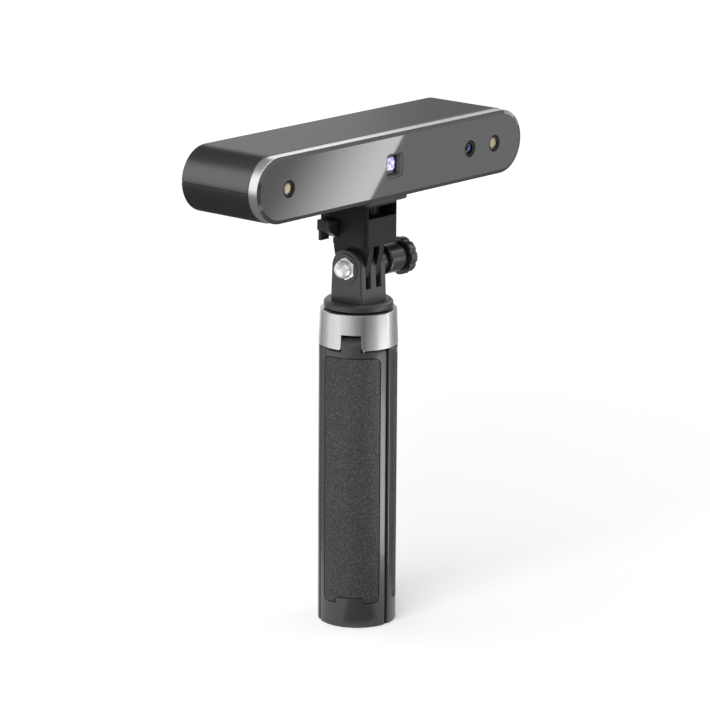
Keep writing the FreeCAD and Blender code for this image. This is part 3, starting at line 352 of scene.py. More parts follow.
# Glass-fibre laminate, etched and then screened with green solder mask.
BOARD = CircuitBoard("green_solder_mask", "#14502c", 0.32)
# Epoxy moulded over a chip: dull black with a fine sandy face.
CHIP_EPOXY = Finish("moulded_chip_epoxy", "#1b1b1d", 0.55, grain=0.2, relief=0.01)
# Glass with a cream interference coat that lets infrared light through.
INFRARED_COAT = CoatedLens("cream_coated_filter", "#d6c9a6", 0.12, rim="#94804f", centre=60.0, reach=2.6)
# Glass with a blue anti-reflection coat: a dark lens whose bright blue centre is a painted glint in the
# coat's colour.
BLUE_COAT_AND_PAINTED_GLINT = CoatedLens("blue_coated_lens_with_painted_glint", "#1d4f9c", 0.05, rim="#08080f", centre=45.0, reach=1.25)
# Frosted pane in front of the projector's pattern film.
PROJECTOR_LIGHT = PatternGlow("lit_pattern_pane", "#ebe6fb", 0.2)


# ---------------------------------------------------------------- surfaces

class Axis(Enum):
    """Axis that a round piece is turned about."""

    X = 0
    Y = 1
    Z = 2


@dataclass
class Skin:
    """One closed skin made of closed rings of points.

    Attributes:
        rings: Points of shape (rings, points, 3), in millimetres.
        endless: Whether the last ring joins the first.
        capped: Whether each end ring is filled with a flat face.
    """

    rings: np.ndarray
    endless: bool = True
    capped: bool = False

    def faces(self) -> list[tuple[int, ...]]:
        """Return the faces, turned so that they point outwards.

        The volume is a sixth of the sum of each triangle's first corner dotted with the
        cross product of the other two; where it is negative the faces are turned over.
        """
        count, points = self.rings.shape[:2]
        row = np.arange(count if self.endless else count - 1)[:, None]
        column = np.arange(points)[None, :]
        after, beside = (row + 1) % count, (column + 1) % points
        corners = np.stack([row * points + column, row * points + beside,
                            after * points + beside, after * points + column], -1)
        quads = corners.reshape(-1, 4)
        flat = self.rings.reshape(-1, 3)
        faces = [tuple(map(int, quad)) for quad in quads]
        triangles = np.concatenate([quads[:, (0, 1, 2)], quads[:, (0, 2, 3)]])
        if self.capped:
            first = np.arange(points)[::-1]
            last = np.arange(points) + (count - 1) * points
            faces += [tuple(map(int, first)), tuple(map(int, last))]
            fans = [np.stack([np.full(points - 2, cap[0]), cap[1:-1], cap[2:]], -1)
                    for cap in (first, last)]
            triangles = np.concatenate([triangles, *fans])
        a, b, c = (flat[triangles[:, index]] for index in range(3))
        if np.einsum("ij,ij->i", a, np.cross(b, c)).sum() < 0:
            faces = [face[::-1] for face in faces]
        return faces


def carried(section: np.ndarray, centres: np.ndarray, outwards: np.ndarray, along: Point) -> np.ndarray:
    """Carry a section along a path: centre + reach * outward + height * along.

    Args:
        section: Reach and height of each point, of shape (points, 2), or with one section
            for each step of the path, of shape (steps, points, 2).
        centres: Centre at each step, of shape (steps, 3).
        outwards: Unit vector away from the centre at each step, of shape (steps, 3).
        along: Unit vector of the heights.

    Returns:
        Points of shape (steps, points, 3).
    """
    reach, height = section[..., 0:1], section[..., 1:2]
    return centres[:, None, :] + reach * outwards[:, None, :] + height * np.array(along)


def circle_path(count: int, axis: Axis, centre: Point) -> tuple:
    """Return centres, outward vectors and axis of a full turn.

    The outward vector at angle t is cos t on the first other axis and sin t on the second.

    Args:
        count: Number of steps.
        axis: Axis of the turn.
        centre: Point on the axis.

    Returns:
        Centres, outward vectors and the axis vector.
    """
    angle = np.arange(count) * math.tau / count
    first, second = (axis.value + 1) % 3, (axis.value + 2) % 3
    outwards = np.zeros((count, 3))
    outwards[:, first] = np.cos(angle)
    outwards[:, second] = np.sin(angle)
    vector = tuple(float(index == axis.value) for index in range(3))
    return np.tile(np.array(centre), (count, 1)), outwards, vector


def turned(section: np.ndarray, axis: Axis, centre: Point, count: int = 96) -> Skin:
    """Turn a closed section of reach and height about an axis."""
    return Skin(carried(section, *circle_path(count, axis, centre)))


def bar_path(half: float, start: float, end: float, steps: int) -> tuple:
    """Return the path round a bar with half-round ends, from one angle to another.

    The centre is the left or right end centre, whichever side the outward vector points to,
    and the outward vector at angle t is (cos t, 0, sin t).

    Args:
        half: Distance from the middle to each end centre.
        start: First angle, in radians.
        end: Last angle, in radians.
        steps: Steps in each quarter turn.

    Returns:
        Centres, outward vectors and the axis vector.
    """
    quarters = max(1, round((end - start) / (math.pi / 2)))
    angle = start + (end - start) * np.concatenate([
        np.linspace(index, index + 1, steps) for index in range(quarters)]) / quarters
    inside = np.concatenate([np.full(steps, start + (index + 0.5) * (end - start) / quarters)
                             for index in range(quarters)])
    centres = np.stack([half * np.sign(np.cos(inside)), np.zeros_like(angle),
                        np.full_like(angle, HEAD_MIDDLE)], -1)
    outwards = np.stack([np.cos(angle), np.zeros_like(angle), np.sin(angle)], -1)
    return centres, outwards, (0.0, 1.0, 0.0)


def rounded(corners: list[Flat], radii: list[float] | float,
            steps: int = 5, between: int = 0) -> np.ndarray:
    """Round the corners of a closed outline.

    Each corner becomes an arc that touches both its edges: its centre lies on the bisector
    at the radius over the sine of half the corner's angle, and the arc's points are equal
    steps of angle round it. Points in equal steps may follow on the edge to the next corner.

    Args:
        corners: Corners in order.
        radii: Radius of each corner, or one for all.
        steps: Points in each arc.
        between: Points on each edge.

    Returns:
        Outline of shape (corners * (steps + between), 2).
    """
    place = np.array(corners, float)
    radius = np.broadcast_to(np.array(radii, float), len(place))[:, None]
    back = np.roll(place, 1, 0) - place
    ahead = np.roll(place, -1, 0) - place
    back /= np.linalg.norm(back, axis=1, keepdims=True)
    ahead /= np.linalg.norm(ahead, axis=1, keepdims=True)
    half = np.arccos(np.clip((back * ahead).sum(1, keepdims=True), -1, 1)) / 2
    reach = radius / np.tan(half)
    enter, leave = place + back * reach, place + ahead * reach
    middle = place + (back + ahead) / (2 * np.cos(half)) * radius / np.sin(half)
    low = np.arctan2(*(enter - middle).T[::-1])
    turn = np.arctan2(*(leave - middle).T[::-1]) - low
    turn = (turn + math.pi) % math.tau - math.pi
    angle = low[:, None] + turn[:, None] * np.linspace(0, 1, steps)
    arcs = middle[:, None] + radius[:, None] * np.stack([np.cos(angle), np.sin(angle)], -1)
    share = (np.arange(between) + 1)[:, None] / (between + 1)
    edges = leave[:, None] + (np.roll(enter, -1, 0) - leave)[:, None] * share
    return np.concatenate([arcs, edges], 1).reshape(-1, 2)


def block(inner: float, outer: float, low: float, high: float, corners: Flat, steps: int) -> np.ndarray:
    """Return a turned block's section, from its inner and outer reach and its two ends.

    The corners are the radii of its lower and its upper outer corner.
    """
    return rounded([(inner, low), (outer, low), (outer, high), (inner, high)],
                   [0.1, *corners, 0.1], steps)


def blended(start: np.ndarray, end: np.ndarray, share: float) -> np.ndarray:
    """Return the outline that lies between two others by a share."""
    return start * (1 - share) + end * share


def rectangle(start: Point, end: Point) -> list[Point]:
    """Return the corners of a rectangle square to an axis, from two opposite ones."""
    first, second = (index for index in range(3) if start[index] != end[index])
    corners = [list(start), list(start), list(end), list(start)]
    corners[1][first], corners[3][second] = end[first], end[second]
    return [tuple(corner) for corner in corners]


def merged(mesh: bpy.types.Mesh, distance: float, flat: float = 0.0) -> None:
    """Merge a mesh's doubles, and then its flat faces or its slivers.

    Args:
        mesh: The mesh, changed in place.
        distance: Points nearer to each other than this become one, in millimetres.
        flat: Faces that meet at less than this angle become one, in degrees. Where it is 0,
            edges and faces without a size are taken out.
    """
    work = bmesh.new()
    work.from_mesh(mesh)
    bmesh.ops.remove_doubles(work, verts=work.verts, dist=distance * MM)
    if flat:
        bmesh.ops.dissolve_limit(work, angle_limit=math.radians(flat), verts=work.verts,
                                 edges=work.edges)
    else:
        bmesh.ops.dissolve_degenerate(work, edges=work.edges, dist=0.001 * MM)
    work.to_mesh(mesh)
    work.free()


def seated(name: str, mesh: bpy.types.Mesh, finish: Finish, body: str,
           nodes: tuple[str, ...], edge: float, crease: float) -> Piece:
    """Make a piece of a mesh: smooth it, round its sharp edges and put it on its body.

    The large faces set the normals, so that flats stay flat beside small roundings.

    Args:
        name: Name of the piece.
        mesh: Its mesh.
        finish: Its finish.
        body: Body it moves with.
        nodes: Nodes of the part that it stands for.
        edge: Width of its rounded edges, in millimetres.
        crease: Edges sharper than this stay sharp, in degrees.

    Returns:
        The piece, at the origin.
    """
    merged(mesh, 0.002)
    mesh.materials.clear()
    mesh.materials.append(finish.material())
    mesh.shade_smooth()
    mesh.set_sharp_from_angle(angle=math.radians(crease))
    piece = bpy.data.objects.new(name, mesh)
    bpy.context.scene.collection.objects.link(piece)
    if edge:
        bevel = piece.modifiers.new("edges", "BEVEL")
        bevel.width = edge * MM
        bevel.segments = 2
        bevel.limit_method = "ANGLE"
        bevel.angle_limit = math.radians(35)
        bevel.harden_normals = True
    flats = piece.modifiers.new("flats", "WEIGHTED_NORMAL")
    flats.keep_sharp = True
    flats.weight = 50
    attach(piece, body)
    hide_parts(*nodes)
    LOG.info("piece %s rides on %s, %d vertices", name, body, len(mesh.vertices))
    return piece


def built(name: str, skins: list[Skin], finish: Finish, body: str, node: str,
          edge: float = 0.0) -> Piece:
    """Make a piece of closed skins, in millimetres, in place of a node of the part."""
    points, faces, start = [], [], 0
    for skin in skins:
        points.append(skin.rings.reshape(-1, 3))
        faces += [tuple(corner + start for corner in face) for face in skin.faces()]
        start += len(points[-1])
    mesh = bpy.data.meshes.new(name)
    mesh.from_pydata((np.concatenate(points) * MM).tolist(), [], faces)
    return seated(name, mesh, finish, body, (node,), edge, 32)


def refined(node: str, name: str, finish: Finish, body: str, edge: float,
            crease: float = 32.0) -> Piece:
    """Make a piece from a merged copy of a node's mesh, with rounded edges."""
    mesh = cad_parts[node].data.copy()
    merged(mesh, 0.001, 0.5)
    if mesh.has_custom_normals:
        mesh.attributes.remove(mesh.attributes["custom_normal"])
    return seated(name, mesh, finish, body, (node,), edge, crease)


def dressed(finishes: dict[str, Finish]) -> None:
    """Give nodes of the part a better material each."""
    for node, finish in finishes.items():
        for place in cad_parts[node].material_slots:
            place.material = finish.material()
        LOG.info("node %s dressed in %s", node, finish.name)


# ---------------------------------------------------------------- sub-assemblies

@dataclass
class ScanningHead:
    """Bar-shaped head: two housing shells, silver bezel, dark glass, cameras and projector."""

    half: float = 64.5
    radius: float = 12.8
    shell: float = 11.2
    rear: float = 19.1
    seam: float = 0.09
    bezel_front: float = -18.48
    bezel_back: float = -14.2
    bezel_radius: float = 12.52
    rebate: float = 10.42
    rebate_floor: float = -17.25
    bezel_bore: float = 9.12
    infrared: float = 60.0
    colour: float = 45.0
    lens_front: float = -18.05
    lens_thick: float = 1.4
    well_half: float = 4.7
    well_corner: float = 1.8

    def build(self) -> None:
        """Make and dress every piece of the head."""
        self.shells()
        self.bezel()
        refined("front_glass", "tinted_front_glass", TINTED_GLASS, "head", 0.0, 10.0)
        self.cameras()
        self.projector()
        refined("rear_cover", "vented_rear_cover", BLACK_ABS, "head", 0.2)
        refined("cable_socket", "socket_shell", NICKEL_SHELL, "head", 0.08)
        dressed({"glass_gasket": BLACK_FOAM, "sensor_carrier": ZINC_STEEL,
                 "main_board": BOARD, "board_chips": CHIP_EPOXY, "socket_board": BOARD,
                 "projector_module": BLACK_ALUMINIUM, "thread_insert": BRASS,
                 "status_light": LIGHT_GUIDE, "housing_screws": ZINC_STEEL})

    def shells(self) -> None:
        """Make the two housing shells: the wall's section carried round half of the bar."""
        section = rounded([(self.radius, self.bezel_back), (self.radius, self.rear),
                           (self.shell, self.rear), (self.shell, self.bezel_back)],
                          [0.12, 0.35, 0.1, 0.1], 4)
        tilt = self.seam / self.radius
        for name, start in (("upper_housing", 0.0), ("lower_housing", math.pi)):
            path = bar_path(self.half, start + tilt, start + math.pi - tilt, 36)
            skin = Skin(carried(section, *path), endless=False, capped=True)
            built(f"{name}_shell", [skin], DARK_ALUMINIUM, "head", name, 0.08)

    def bezel(self) -> None:
        """Make the silver bezel: its section carried round the whole bar."""
        section = rounded([(self.bezel_radius, self.bezel_back), (self.bezel_radius, self.bezel_front),
                           (self.rebate, self.bezel_front), (self.rebate, self.rebate_floor),
                           (self.bezel_bore, self.rebate_floor), (self.bezel_bore, self.bezel_back)],
                          [0.1, 0.16, 0.05, 0.05, 0.1, 0.1], 4)
        path = bar_path(self.half, 0.0, math.tau, 30)
        # The bezel's paler silver is a painted highlight.
        built("silver_bezel", [Skin(carried(section, *path))], SILVER_ALUMINIUM_PAINTED_HIGHLIGHT, "head",
              "front_bezel")

    def cameras(self) -> None:
        """Make the barrels' rims and the crowned lenses, and dress the camera blocks."""
        for node in ("left_infrared_camera", "right_infrared_camera", "colour_camera"):
            refined(node, f"{node}_barrel", BLACK_ALUMINIUM, "head", 0.12)
        built("infrared_filters", [self.lens(x, 2.28, 0.12) for x in (-self.infrared, self.infrared)],
              INFRARED_COAT, "head", "infrared_lenses")
        # The colour lens's bright blue centre is a painted glint.
        built("colour_lens_dome", [self.lens(self.colour, 2.18, 0.5)], BLUE_COAT_AND_PAINTED_GLINT, "head",
              "colour_lens")

    def lens(self, x: float, reach: float, crown: float) -> Skin:
        """Return a lens: its height falls off from the crown with the square of its reach.

        Args:
            x: Place along the bar.
            reach: Radius of the lens.
            crown: Height of the crown.

        Returns:
            The closed skin.
        """
        share = np.linspace(0, 1, 12)
        height = self.lens_front + 0.02 - crown * (1 - share ** 2)
        face = np.stack([share * reach, height], -1)
        back = self.lens_front + self.lens_thick
        section = np.concatenate([face, [(reach, back), (0.0, back)]])
        return turned(section, Axis.Y, (x, 0.0, HEAD_MIDDLE), 48)

    def projector(self) -> None:
        """Make the stepped well, as rounded squares, and the lit pane at its bottom."""
        # Half width and Y of each ring: up the outer wall, over the rim and down the steps.
        profile = [(4.7, -14.5), (4.7, -18.82), (4.62, -18.9), (4.2, -18.9), (4.1, -18.8),
                   (4.1, -17.8), (3.87, -17.8), (3.8, -17.73), (3.8, -16.7), (3.5, -16.7),
                   (3.5, -15.6), (3.43, -15.6), (3.43, -14.5)]
        rings = []
        for half, y in profile:
            corner = max(0.25, self.well_corner - 1.1 * (self.well_half - half) / 0.6)
            outline = rounded([(half, half), (-half, half), (-half, -half), (half, -half)], corner, 6)
            rings.append(np.insert(outline + (0.0, HEAD_MIDDLE), 1, y, axis=1))
        built("stepped_projector_well", [Skin(np.array(rings))], GREY_ABS, "head",
              "projector_frame")
        refined("projector_window", "projector_pane", PROJECTOR_LIGHT, "head", 0.05)


@dataclass
class Bracket:
    """Plate, rubber, block, thumb wheel and release button under the head."""

    def build(self) -> None:
        """Make and dress every piece of the bracket."""
        refined("mount_plate", "mounting_plate", BLACK_ABS, "head", 0.15)
        refined("mount_pad", "rubber_pad", SOFT_RUBBER, "head", 0.1)
        refined("bracket_block", "tilt_bracket", BLACK_NYLON, "head", 0.22)
        refined("thumb_wheel", "ridged_thumb_wheel", BLACK_NYLON, "wheel", 0.08)
        refined("release_button", "release_lever", BLACK_ABS, "button", 0.2)
        dressed(dict.fromkeys(("mount_screw", "stop_pin", "button_spring"), ZINC_STEEL))


@dataclass
class TiltJoint:
    """Clevis on the grip with its domed nut, and the clamp knob with bolt and washer."""

    axis: Point = (0.0, GRIP_Y, TILT_HEIGHT)
    nut_seat: float = -5.9
    nut_flat: float = 4.0
    nut_hex: float = 2.1
    nut_height: float = 6.6
    dome: float = 3.6
    bore: float = 2.5
    neck_start: float = 8.4
    neck_end: float = 13.4
    neck: float = 4.3
    hub_start: float = 13.0
    hub_end: float = 22.2
    hub: float = 5.8
    core: float = 4.9
    flange_start: float = 23.0
    flange_end: float = 26.9
    flange: float = 7.4
    flange_face: float = 5.2
    flutes: int = 9
    flute_depth: float = 0.55

    def build(self) -> None:
        """Make and dress every piece of the joint."""
        refined("clevis", "three_finger_clevis", NYLON, "grip", 0.2)
        self.nut()
        self.knob()
        dressed(dict.fromkeys(("clamp_bolt", "clamp_washer"), ZINC_STEEL))

    def nut(self) -> None:
        """Make the domed nut.

        The hexagon's reach at angle t is the flat's distance over cos of t folded into a
        twelfth of a turn, held under a cone for its chamfers; the dome is a quarter circle.
        """
        count = 96
        angle = np.arange(count) * math.tau / count
        fold = (angle + math.pi / 6) % (math.pi / 3) - math.pi / 6
        hexagon = self.nut_flat / np.cos(fold)
        outer = self.nut_flat / math.cos(math.pi / 6)
        start, waist = self.nut_seat, self.nut_seat - self.nut_hex
        rows = [(0.0 * hexagon, start), (hexagon * 0.97, start), (hexagon, start - 0.15)]
        rows += [(np.minimum(hexagon, outer - drop * 1.7), waist + 0.35 - drop)
                 for drop in (0.0, 0.12, 0.24, 0.35)]
        rows.append((np.full(count, self.dome), waist))
        shoulder = self.nut_seat - self.nut_height + self.dome
        rows += [(np.full(count, self.dome * math.cos(turn)), shoulder - self.dome * math.sin(turn))
                 for turn in np.linspace(0, math.pi / 2, 18)]
        section = np.stack([np.stack([reach, np.full(count, place)], -1) for reach, place in rows], 1)
        rings = carried(section, *circle_path(count, Axis.X, self.axis))
        built("domed_nut", [Skin(rings)], CHROME, "grip", "dome_nut")

    def knob(self) -> None:
        """Make the clamp knob: neck, rounded hub, groove and fluted flange.

        The flange's reach at angle t is its radius less a dip of the flute's depth times a
        raised power of cos(flutes * t / 2).
        """
        neck = block(self.bore, self.neck, self.neck_start, self.neck_end, (0.25, 0.1), 5)
        hub = block(self.bore, self.hub, self.hub_start, self.hub_end, (0.95, 0.8), 7)
        core = block(self.bore, self.core, self.hub_end - 1, self.flange_start + 1, (0.1, 0.1), 5)
        section = block(0.4, self.flange, self.flange_start, self.flange_end, (0.35, 0.8), 6)
        count = 252
        angle = np.arange(count) * math.tau / count
        dip = self.flute_depth * np.abs(np.cos(self.flutes * angle / 2)) ** 14
        fluted = np.tile(section, (count, 1, 1))
        edge = np.clip((fluted[..., 0] - self.flange_face) / 2.1, 0, 1)
        fluted[..., 0] -= dip[:, None] * edge
        fluted[..., 1] -= 0.25 * np.clip(1 - fluted[..., 0] / self.flange_face, 0, 1) * (
            fluted[..., 1] > self.flange_end - 0.1)
        skins = [turned(part, Axis.X, self.axis) for part in (neck, hub, core)]
        skins.append(Skin(carried(fluted, *circle_path(count, Axis.X, self.axis))))
        built("fluted_clamp_knob", skins, GLOSS_ABS, "clamp", "clamp_knob")


@dataclass
class Grip:
    """Collar, hub and the three legs."""

    centre: Point = (0.0, GRIP_Y, 0.0)
    collar_low: float = 111.5
    collar_high: float = 125.5
    low_radius: float = 15.5
    high_radius: float = 14.9
    bore: float = 14.1
    lip: float = 11.7
    lip_height: float = 1.0
    notch_half: float = 4.0
    notch_height: float = 6.0

    def build(self) -> None:
        """Make and dress every piece of the grip."""
        self.collar()
        dressed({"hub_core": BLACK_NYLON, "hub_bolt": ZINC_STEEL, "hinge_pins": ZINC_STEEL})
        for name, degrees in (("rear", 90.0), ("left", 210.0), ("right", 330.0)):
            Leg(name, math.radians(degrees)).build()

    def collar(self) -> None:
        """Make the silver collar.

        Its lower edge rises by the notch's height where the arc from a leg's middle is
        shorter than the notch's half width, with a flared foot and a small corner on top.
        """
        half = self.notch_half / GRIP_RADIUS
        steps = np.array([0.0, 0.3, 0.6, 0.86, 0.95, 0.985, 0.999, 1.001, 1.02, 1.07, 1.13, 1.2,
                          1.5, 2.5, 3.5, 4.2, math.pi / 3 / half])
        rise = np.array([1, 1, 1, 1, 1, 1, 1, 0.3, 0.16, 0.07, 0.02, 0, 0, 0, 0, 0, 0])
        side = np.concatenate([-steps[:0:-1], steps[:-1]]) * half
        lift = np.concatenate([rise[:0:-1], rise[:-1]]) * self.notch_height
        angle = np.concatenate([side + math.radians(middle) for middle in (90, 210, 330)])
        low = self.collar_low + np.tile(lift, 3)
        level = np.array([0.0, 0.006, 0.012, 0.016, 0.3, 0.6, 0.972, 0.976, 0.992, 1.0])
        trim = np.array([0.2, 0.06, 0, 0, 0, 0, 0, 0, 0.06, 0.25])
        slope = (self.high_radius - self.low_radius) / (self.collar_high - self.collar_low)
        rows = []
        for share, cut in zip(level, trim):
            height = low + (self.collar_high - low) * share
            rows.append((self.low_radius + slope * (height - self.collar_low) - cut, height))
        top, under = self.collar_high, self.collar_high - self.lip_height
        rows += [(self.lip + 0.15, top), (self.lip, top - 0.15), (self.lip, under),
                 (self.bore, under), (self.bore, low + 0.3), (self.bore + 0.12, low)]
        section = np.stack([np.stack(np.broadcast_arrays(*row, low)[:2], -1) for row in rows], 1)
        outwards = np.stack([np.cos(angle), np.sin(angle), 0 * angle], -1)
        centres = np.tile(np.array(self.centre), (len(angle), 1))
        rings = carried(section, centres, outwards, (0.0, 0.0, 1.0))
        built("silver_collar", [Skin(rings)], SILVER_ALUMINIUM, "grip", "collar")


@dataclass
class Leg:
    """One leg of the grip with its tongue, its foot and its soft pad.

    Attributes:
        name: Its name.
        direction: Its direction round the grip's axis, in radians.
    """

    name: str
    direction: float
    radius: float = GRIP_RADIUS
    wall: float = 4.0
    height: float = 111.2
    half_angle: float = 57.75
    foot_high: float = 3.0
    foot_inset: float = 0.9
    foot_bore: float = 3.0
    pad_half: float = 45.0
    pad_low: float = 10.0
    pad_high: float = 108.2
    pad_thick: float = 0.8
    pad_edge: float = 0.25
    pad_gap: float = 0.28
    pad_corner: float = 2.4
    tab_half: float = 22.0
    tab_rise: float = 2.3
    edge: float = 0.7
    tongue_half: float = 3.8
    tongue_root: float = 8.5
    tongue_reach: float = 15.28
    tongue_low: float = 105.2
    tongue_high: float = 116.3
    hinge_radius: float = 12.0
    hinge_height: float = 113.4
    relief_radius: float = 3.75
    relief_slope: float = 0.275

    def build(self) -> None:
        """Make the leg and its pad."""
        self.shell()
        self.pad()

    def arc(self, degrees: float) -> float:
        """Return the length of an arc of the leg's radius."""
        return math.radians(degrees) * self.radius

    def wrapped(self, rings: list[tuple[np.ndarray, float]]) -> np.ndarray:
        """Wrap outlines of arc length and height round the grip's axis.

        A point's angle is the leg's direction plus its arc length over the leg's radius.

        Args:
            rings: Each outline, with its distance from the axis.

        Returns:
            Points of shape (rings, points, 3).
        """
        outlines = np.array([outline for outline, _ in rings])
        reach = np.array([reach for _, reach in rings])[:, None]
        angle = self.direction + outlines[..., 0] / self.radius
        return np.stack([reach * np.cos(angle), GRIP_Y + reach * np.sin(angle), outlines[..., 1]], -1)

    def pad_line(self, grow: float) -> np.ndarray:
        """Return the outline of the pad, or of its recess, with a raised tab below.

        Args:
            grow: Distance outside the pad's own outline.

        Returns:
            Arc length and height of each point.
        """
        side, tab = self.arc(self.pad_half) + grow, self.arc(self.tab_half) - grow
        low, high = self.pad_low - grow, self.pad_high + grow
        rise = low + self.tab_rise
        corner = self.pad_corner + grow
        return rounded([(side, low), (side, high), (-side, high), (-side, low), (-tab, low),
                        (-tab, rise), (tab, rise), (tab, low)],
                       [corner, corner, corner, corner, 0.5, 0.7, 0.7, 0.5], 6, 23)

    def leg_line(self, shrink: float) -> np.ndarray:
        """Return the outline of a leg, point for point with the pad's.

        Args:
            shrink: Distance inside the leg's own outline.

        Returns:
            Arc length and height of each point.
        """
        side, tab = self.arc(self.half_angle) - shrink, self.arc(self.tab_half)
        low, high = shrink, self.height - shrink
        foot, shoulder = max(0.05, 0.9 - shrink), max(0.05, 1.3 - shrink)
        return rounded([(side, low), (side, high), (-side, high), (-side, low), (-tab, low),
                        (-tab + 2, low), (tab - 2, low), (tab, low)],
                       [foot, shoulder, shoulder, foot, 0, 0, 0, 0], 6, 23)

    def spine(self, outline: np.ndarray) -> np.ndarray:
        """Return the line down the middle that an outline shrinks to."""
        margin = self.arc(self.pad_half)
        return np.stack([0 * outline[:, 0], np.clip(
            outline[:, 1], self.pad_low + margin, self.pad_high - margin)], -1)

    def shell(self) -> None:
        """Make the leg: rings from its inner face, round its edges, to the pad's recess."""
        whole, recess = self.leg_line(0.0), self.pad_line(self.pad_gap)
        inner, floor = self.radius - self.wall, self.radius - self.pad_thick - 0.02
        rings = [(blended(self.spine(whole), whole, share), inner) for share in np.linspace(0, 1, 7)]
        rings += [(whole, reach) for reach in np.linspace(inner, self.radius - self.edge, 8)[1:-1]]
        rings += [(self.leg_line(self.edge * (1 - math.cos(turn))),
                   self.radius - self.edge * (1 - math.sin(turn)))
                  for turn in np.linspace(0, math.pi / 2, 6)]
        last = self.leg_line(self.edge)
        rings += [(blended(last, recess, share), self.radius) for share in (0.25, 0.5, 0.75, 0.97)]
        rings += [(self.pad_line(self.pad_gap + 0.03), self.radius - 0.03),
                  (recess, self.radius - 0.12), (recess, floor)]
        rings += [(blended(recess, self.spine(recess), share), floor)
                  for share in np.linspace(0, 1, 6)[1:]]
        shell = self.wrapped(rings)
        self.relieve(shell)
        built(f"{self.name}_leg_shell", [Skin(shell, endless=False), self.foot(), self.tongue()],
              LEG_NYLON, f"{self.name}_leg_body", f"{self.name}_leg")

    def relieve(self, rings: np.ndarray) -> None:
        """Dish the leg's top beside its tongue, which leaves it room to turn.

        Points nearer to the hinge line than the radius of a cone round it, which shrinks
        with the distance from the tongue, are lowered on to the cone.

        Args:
            rings: Points of the leg, of shape (rings, points, 3), changed in place.
        """
        cos, sin = math.cos(self.direction), math.sin(self.direction)
        along, across = rings[..., 0], rings[..., 1] - GRIP_Y
        side = np.abs(across * cos - along * sin)
        radius = self.relief_radius - self.relief_slope * np.clip(side - self.tongue_half, 0, 6)
        drop = radius ** 2 - (along * cos + across * sin - self.hinge_radius) ** 2
        rings[..., 2] = np.minimum(rings[..., 2], self.hinge_height - np.sqrt(np.maximum(drop, 0)))

    def foot(self) -> Skin:
        """Return the plate that closes the leg's foot: a sector ring drawn upwards."""
        half = math.radians(self.half_angle)
        angle = self.direction + np.linspace(-half, half, 40)
        arcs = [np.stack([reach * np.cos(turn), GRIP_Y + reach * np.sin(turn)], -1) for reach, turn
                in ((self.radius - self.foot_inset, angle), (self.foot_bore, angle[::-1]))]
        rings = [np.insert(np.concatenate(arcs), 2, level, axis=1) for level in (0.0, self.foot_high)]
        return Skin(np.array(rings), endless=False, capped=True)

    def tongue(self) -> Skin:
        """Return the leg's tongue: a rounded plate held inside the leg's radius."""
        root, end = self.tongue_root, self.tongue_reach
        low, high = self.tongue_low, self.tongue_high
        outline = rounded([(root, low), (14.2, low), (14.2, 109.0), (end, 109.6), (end, high),
                           (root, high)], [0.3, 0.3, 0.3, 0.3, 3.3, 3.3], 10)
        across = np.array([-3.8, -3.65, -2.6, -1.3, 0, 1.3, 2.6, 3.65, 3.8])
        inset = np.array([0.15, 0, 0, 0, 0, 0, 0, 0, 0.15])
        middle = outline.mean(0)
        along = middle + (outline - middle)[None] * (1 - inset[:, None, None] / 5)
        reach = np.minimum(along[..., 0], np.sqrt(end ** 2 - across ** 2)[:, None])
        side = across[:, None] + 0 * reach
        cos, sin = math.cos(self.direction), math.sin(self.direction)
        rings = np.stack([reach * cos - side * sin, GRIP_Y + reach * sin + side * cos,
                          along[..., 1]], -1)
        return Skin(rings, endless=False, capped=True)

    def pad(self) -> None:
        """Make the soft pad: rings from its back, round its rim, to its middle line."""
        line, back = self.pad_line(0.0), self.radius - self.pad_thick
        middle, face = self.spine(line), self.radius - 0.02
        rings = [(blended(middle, line, share), back) for share in np.linspace(0, 1, 6)]
        rings += [(self.pad_line(-self.pad_edge * (1 - math.cos(turn))),
                   face - self.pad_edge * (1 - math.sin(turn)))
                  for turn in np.linspace(0, math.pi / 2, 5)]
        last = self.pad_line(-self.pad_edge)
        rings += [(blended(last, middle, share), face) for share in np.linspace(0, 1, 9)[1:]]
        built(f"{self.name}_grip_pad", [Skin(self.wrapped(rings), endless=False)], GRIP_RUBBER,
              f"{self.name}_leg_body", f"{self.name}_leg_pad")


# ---------------------------------------------------------------- studio

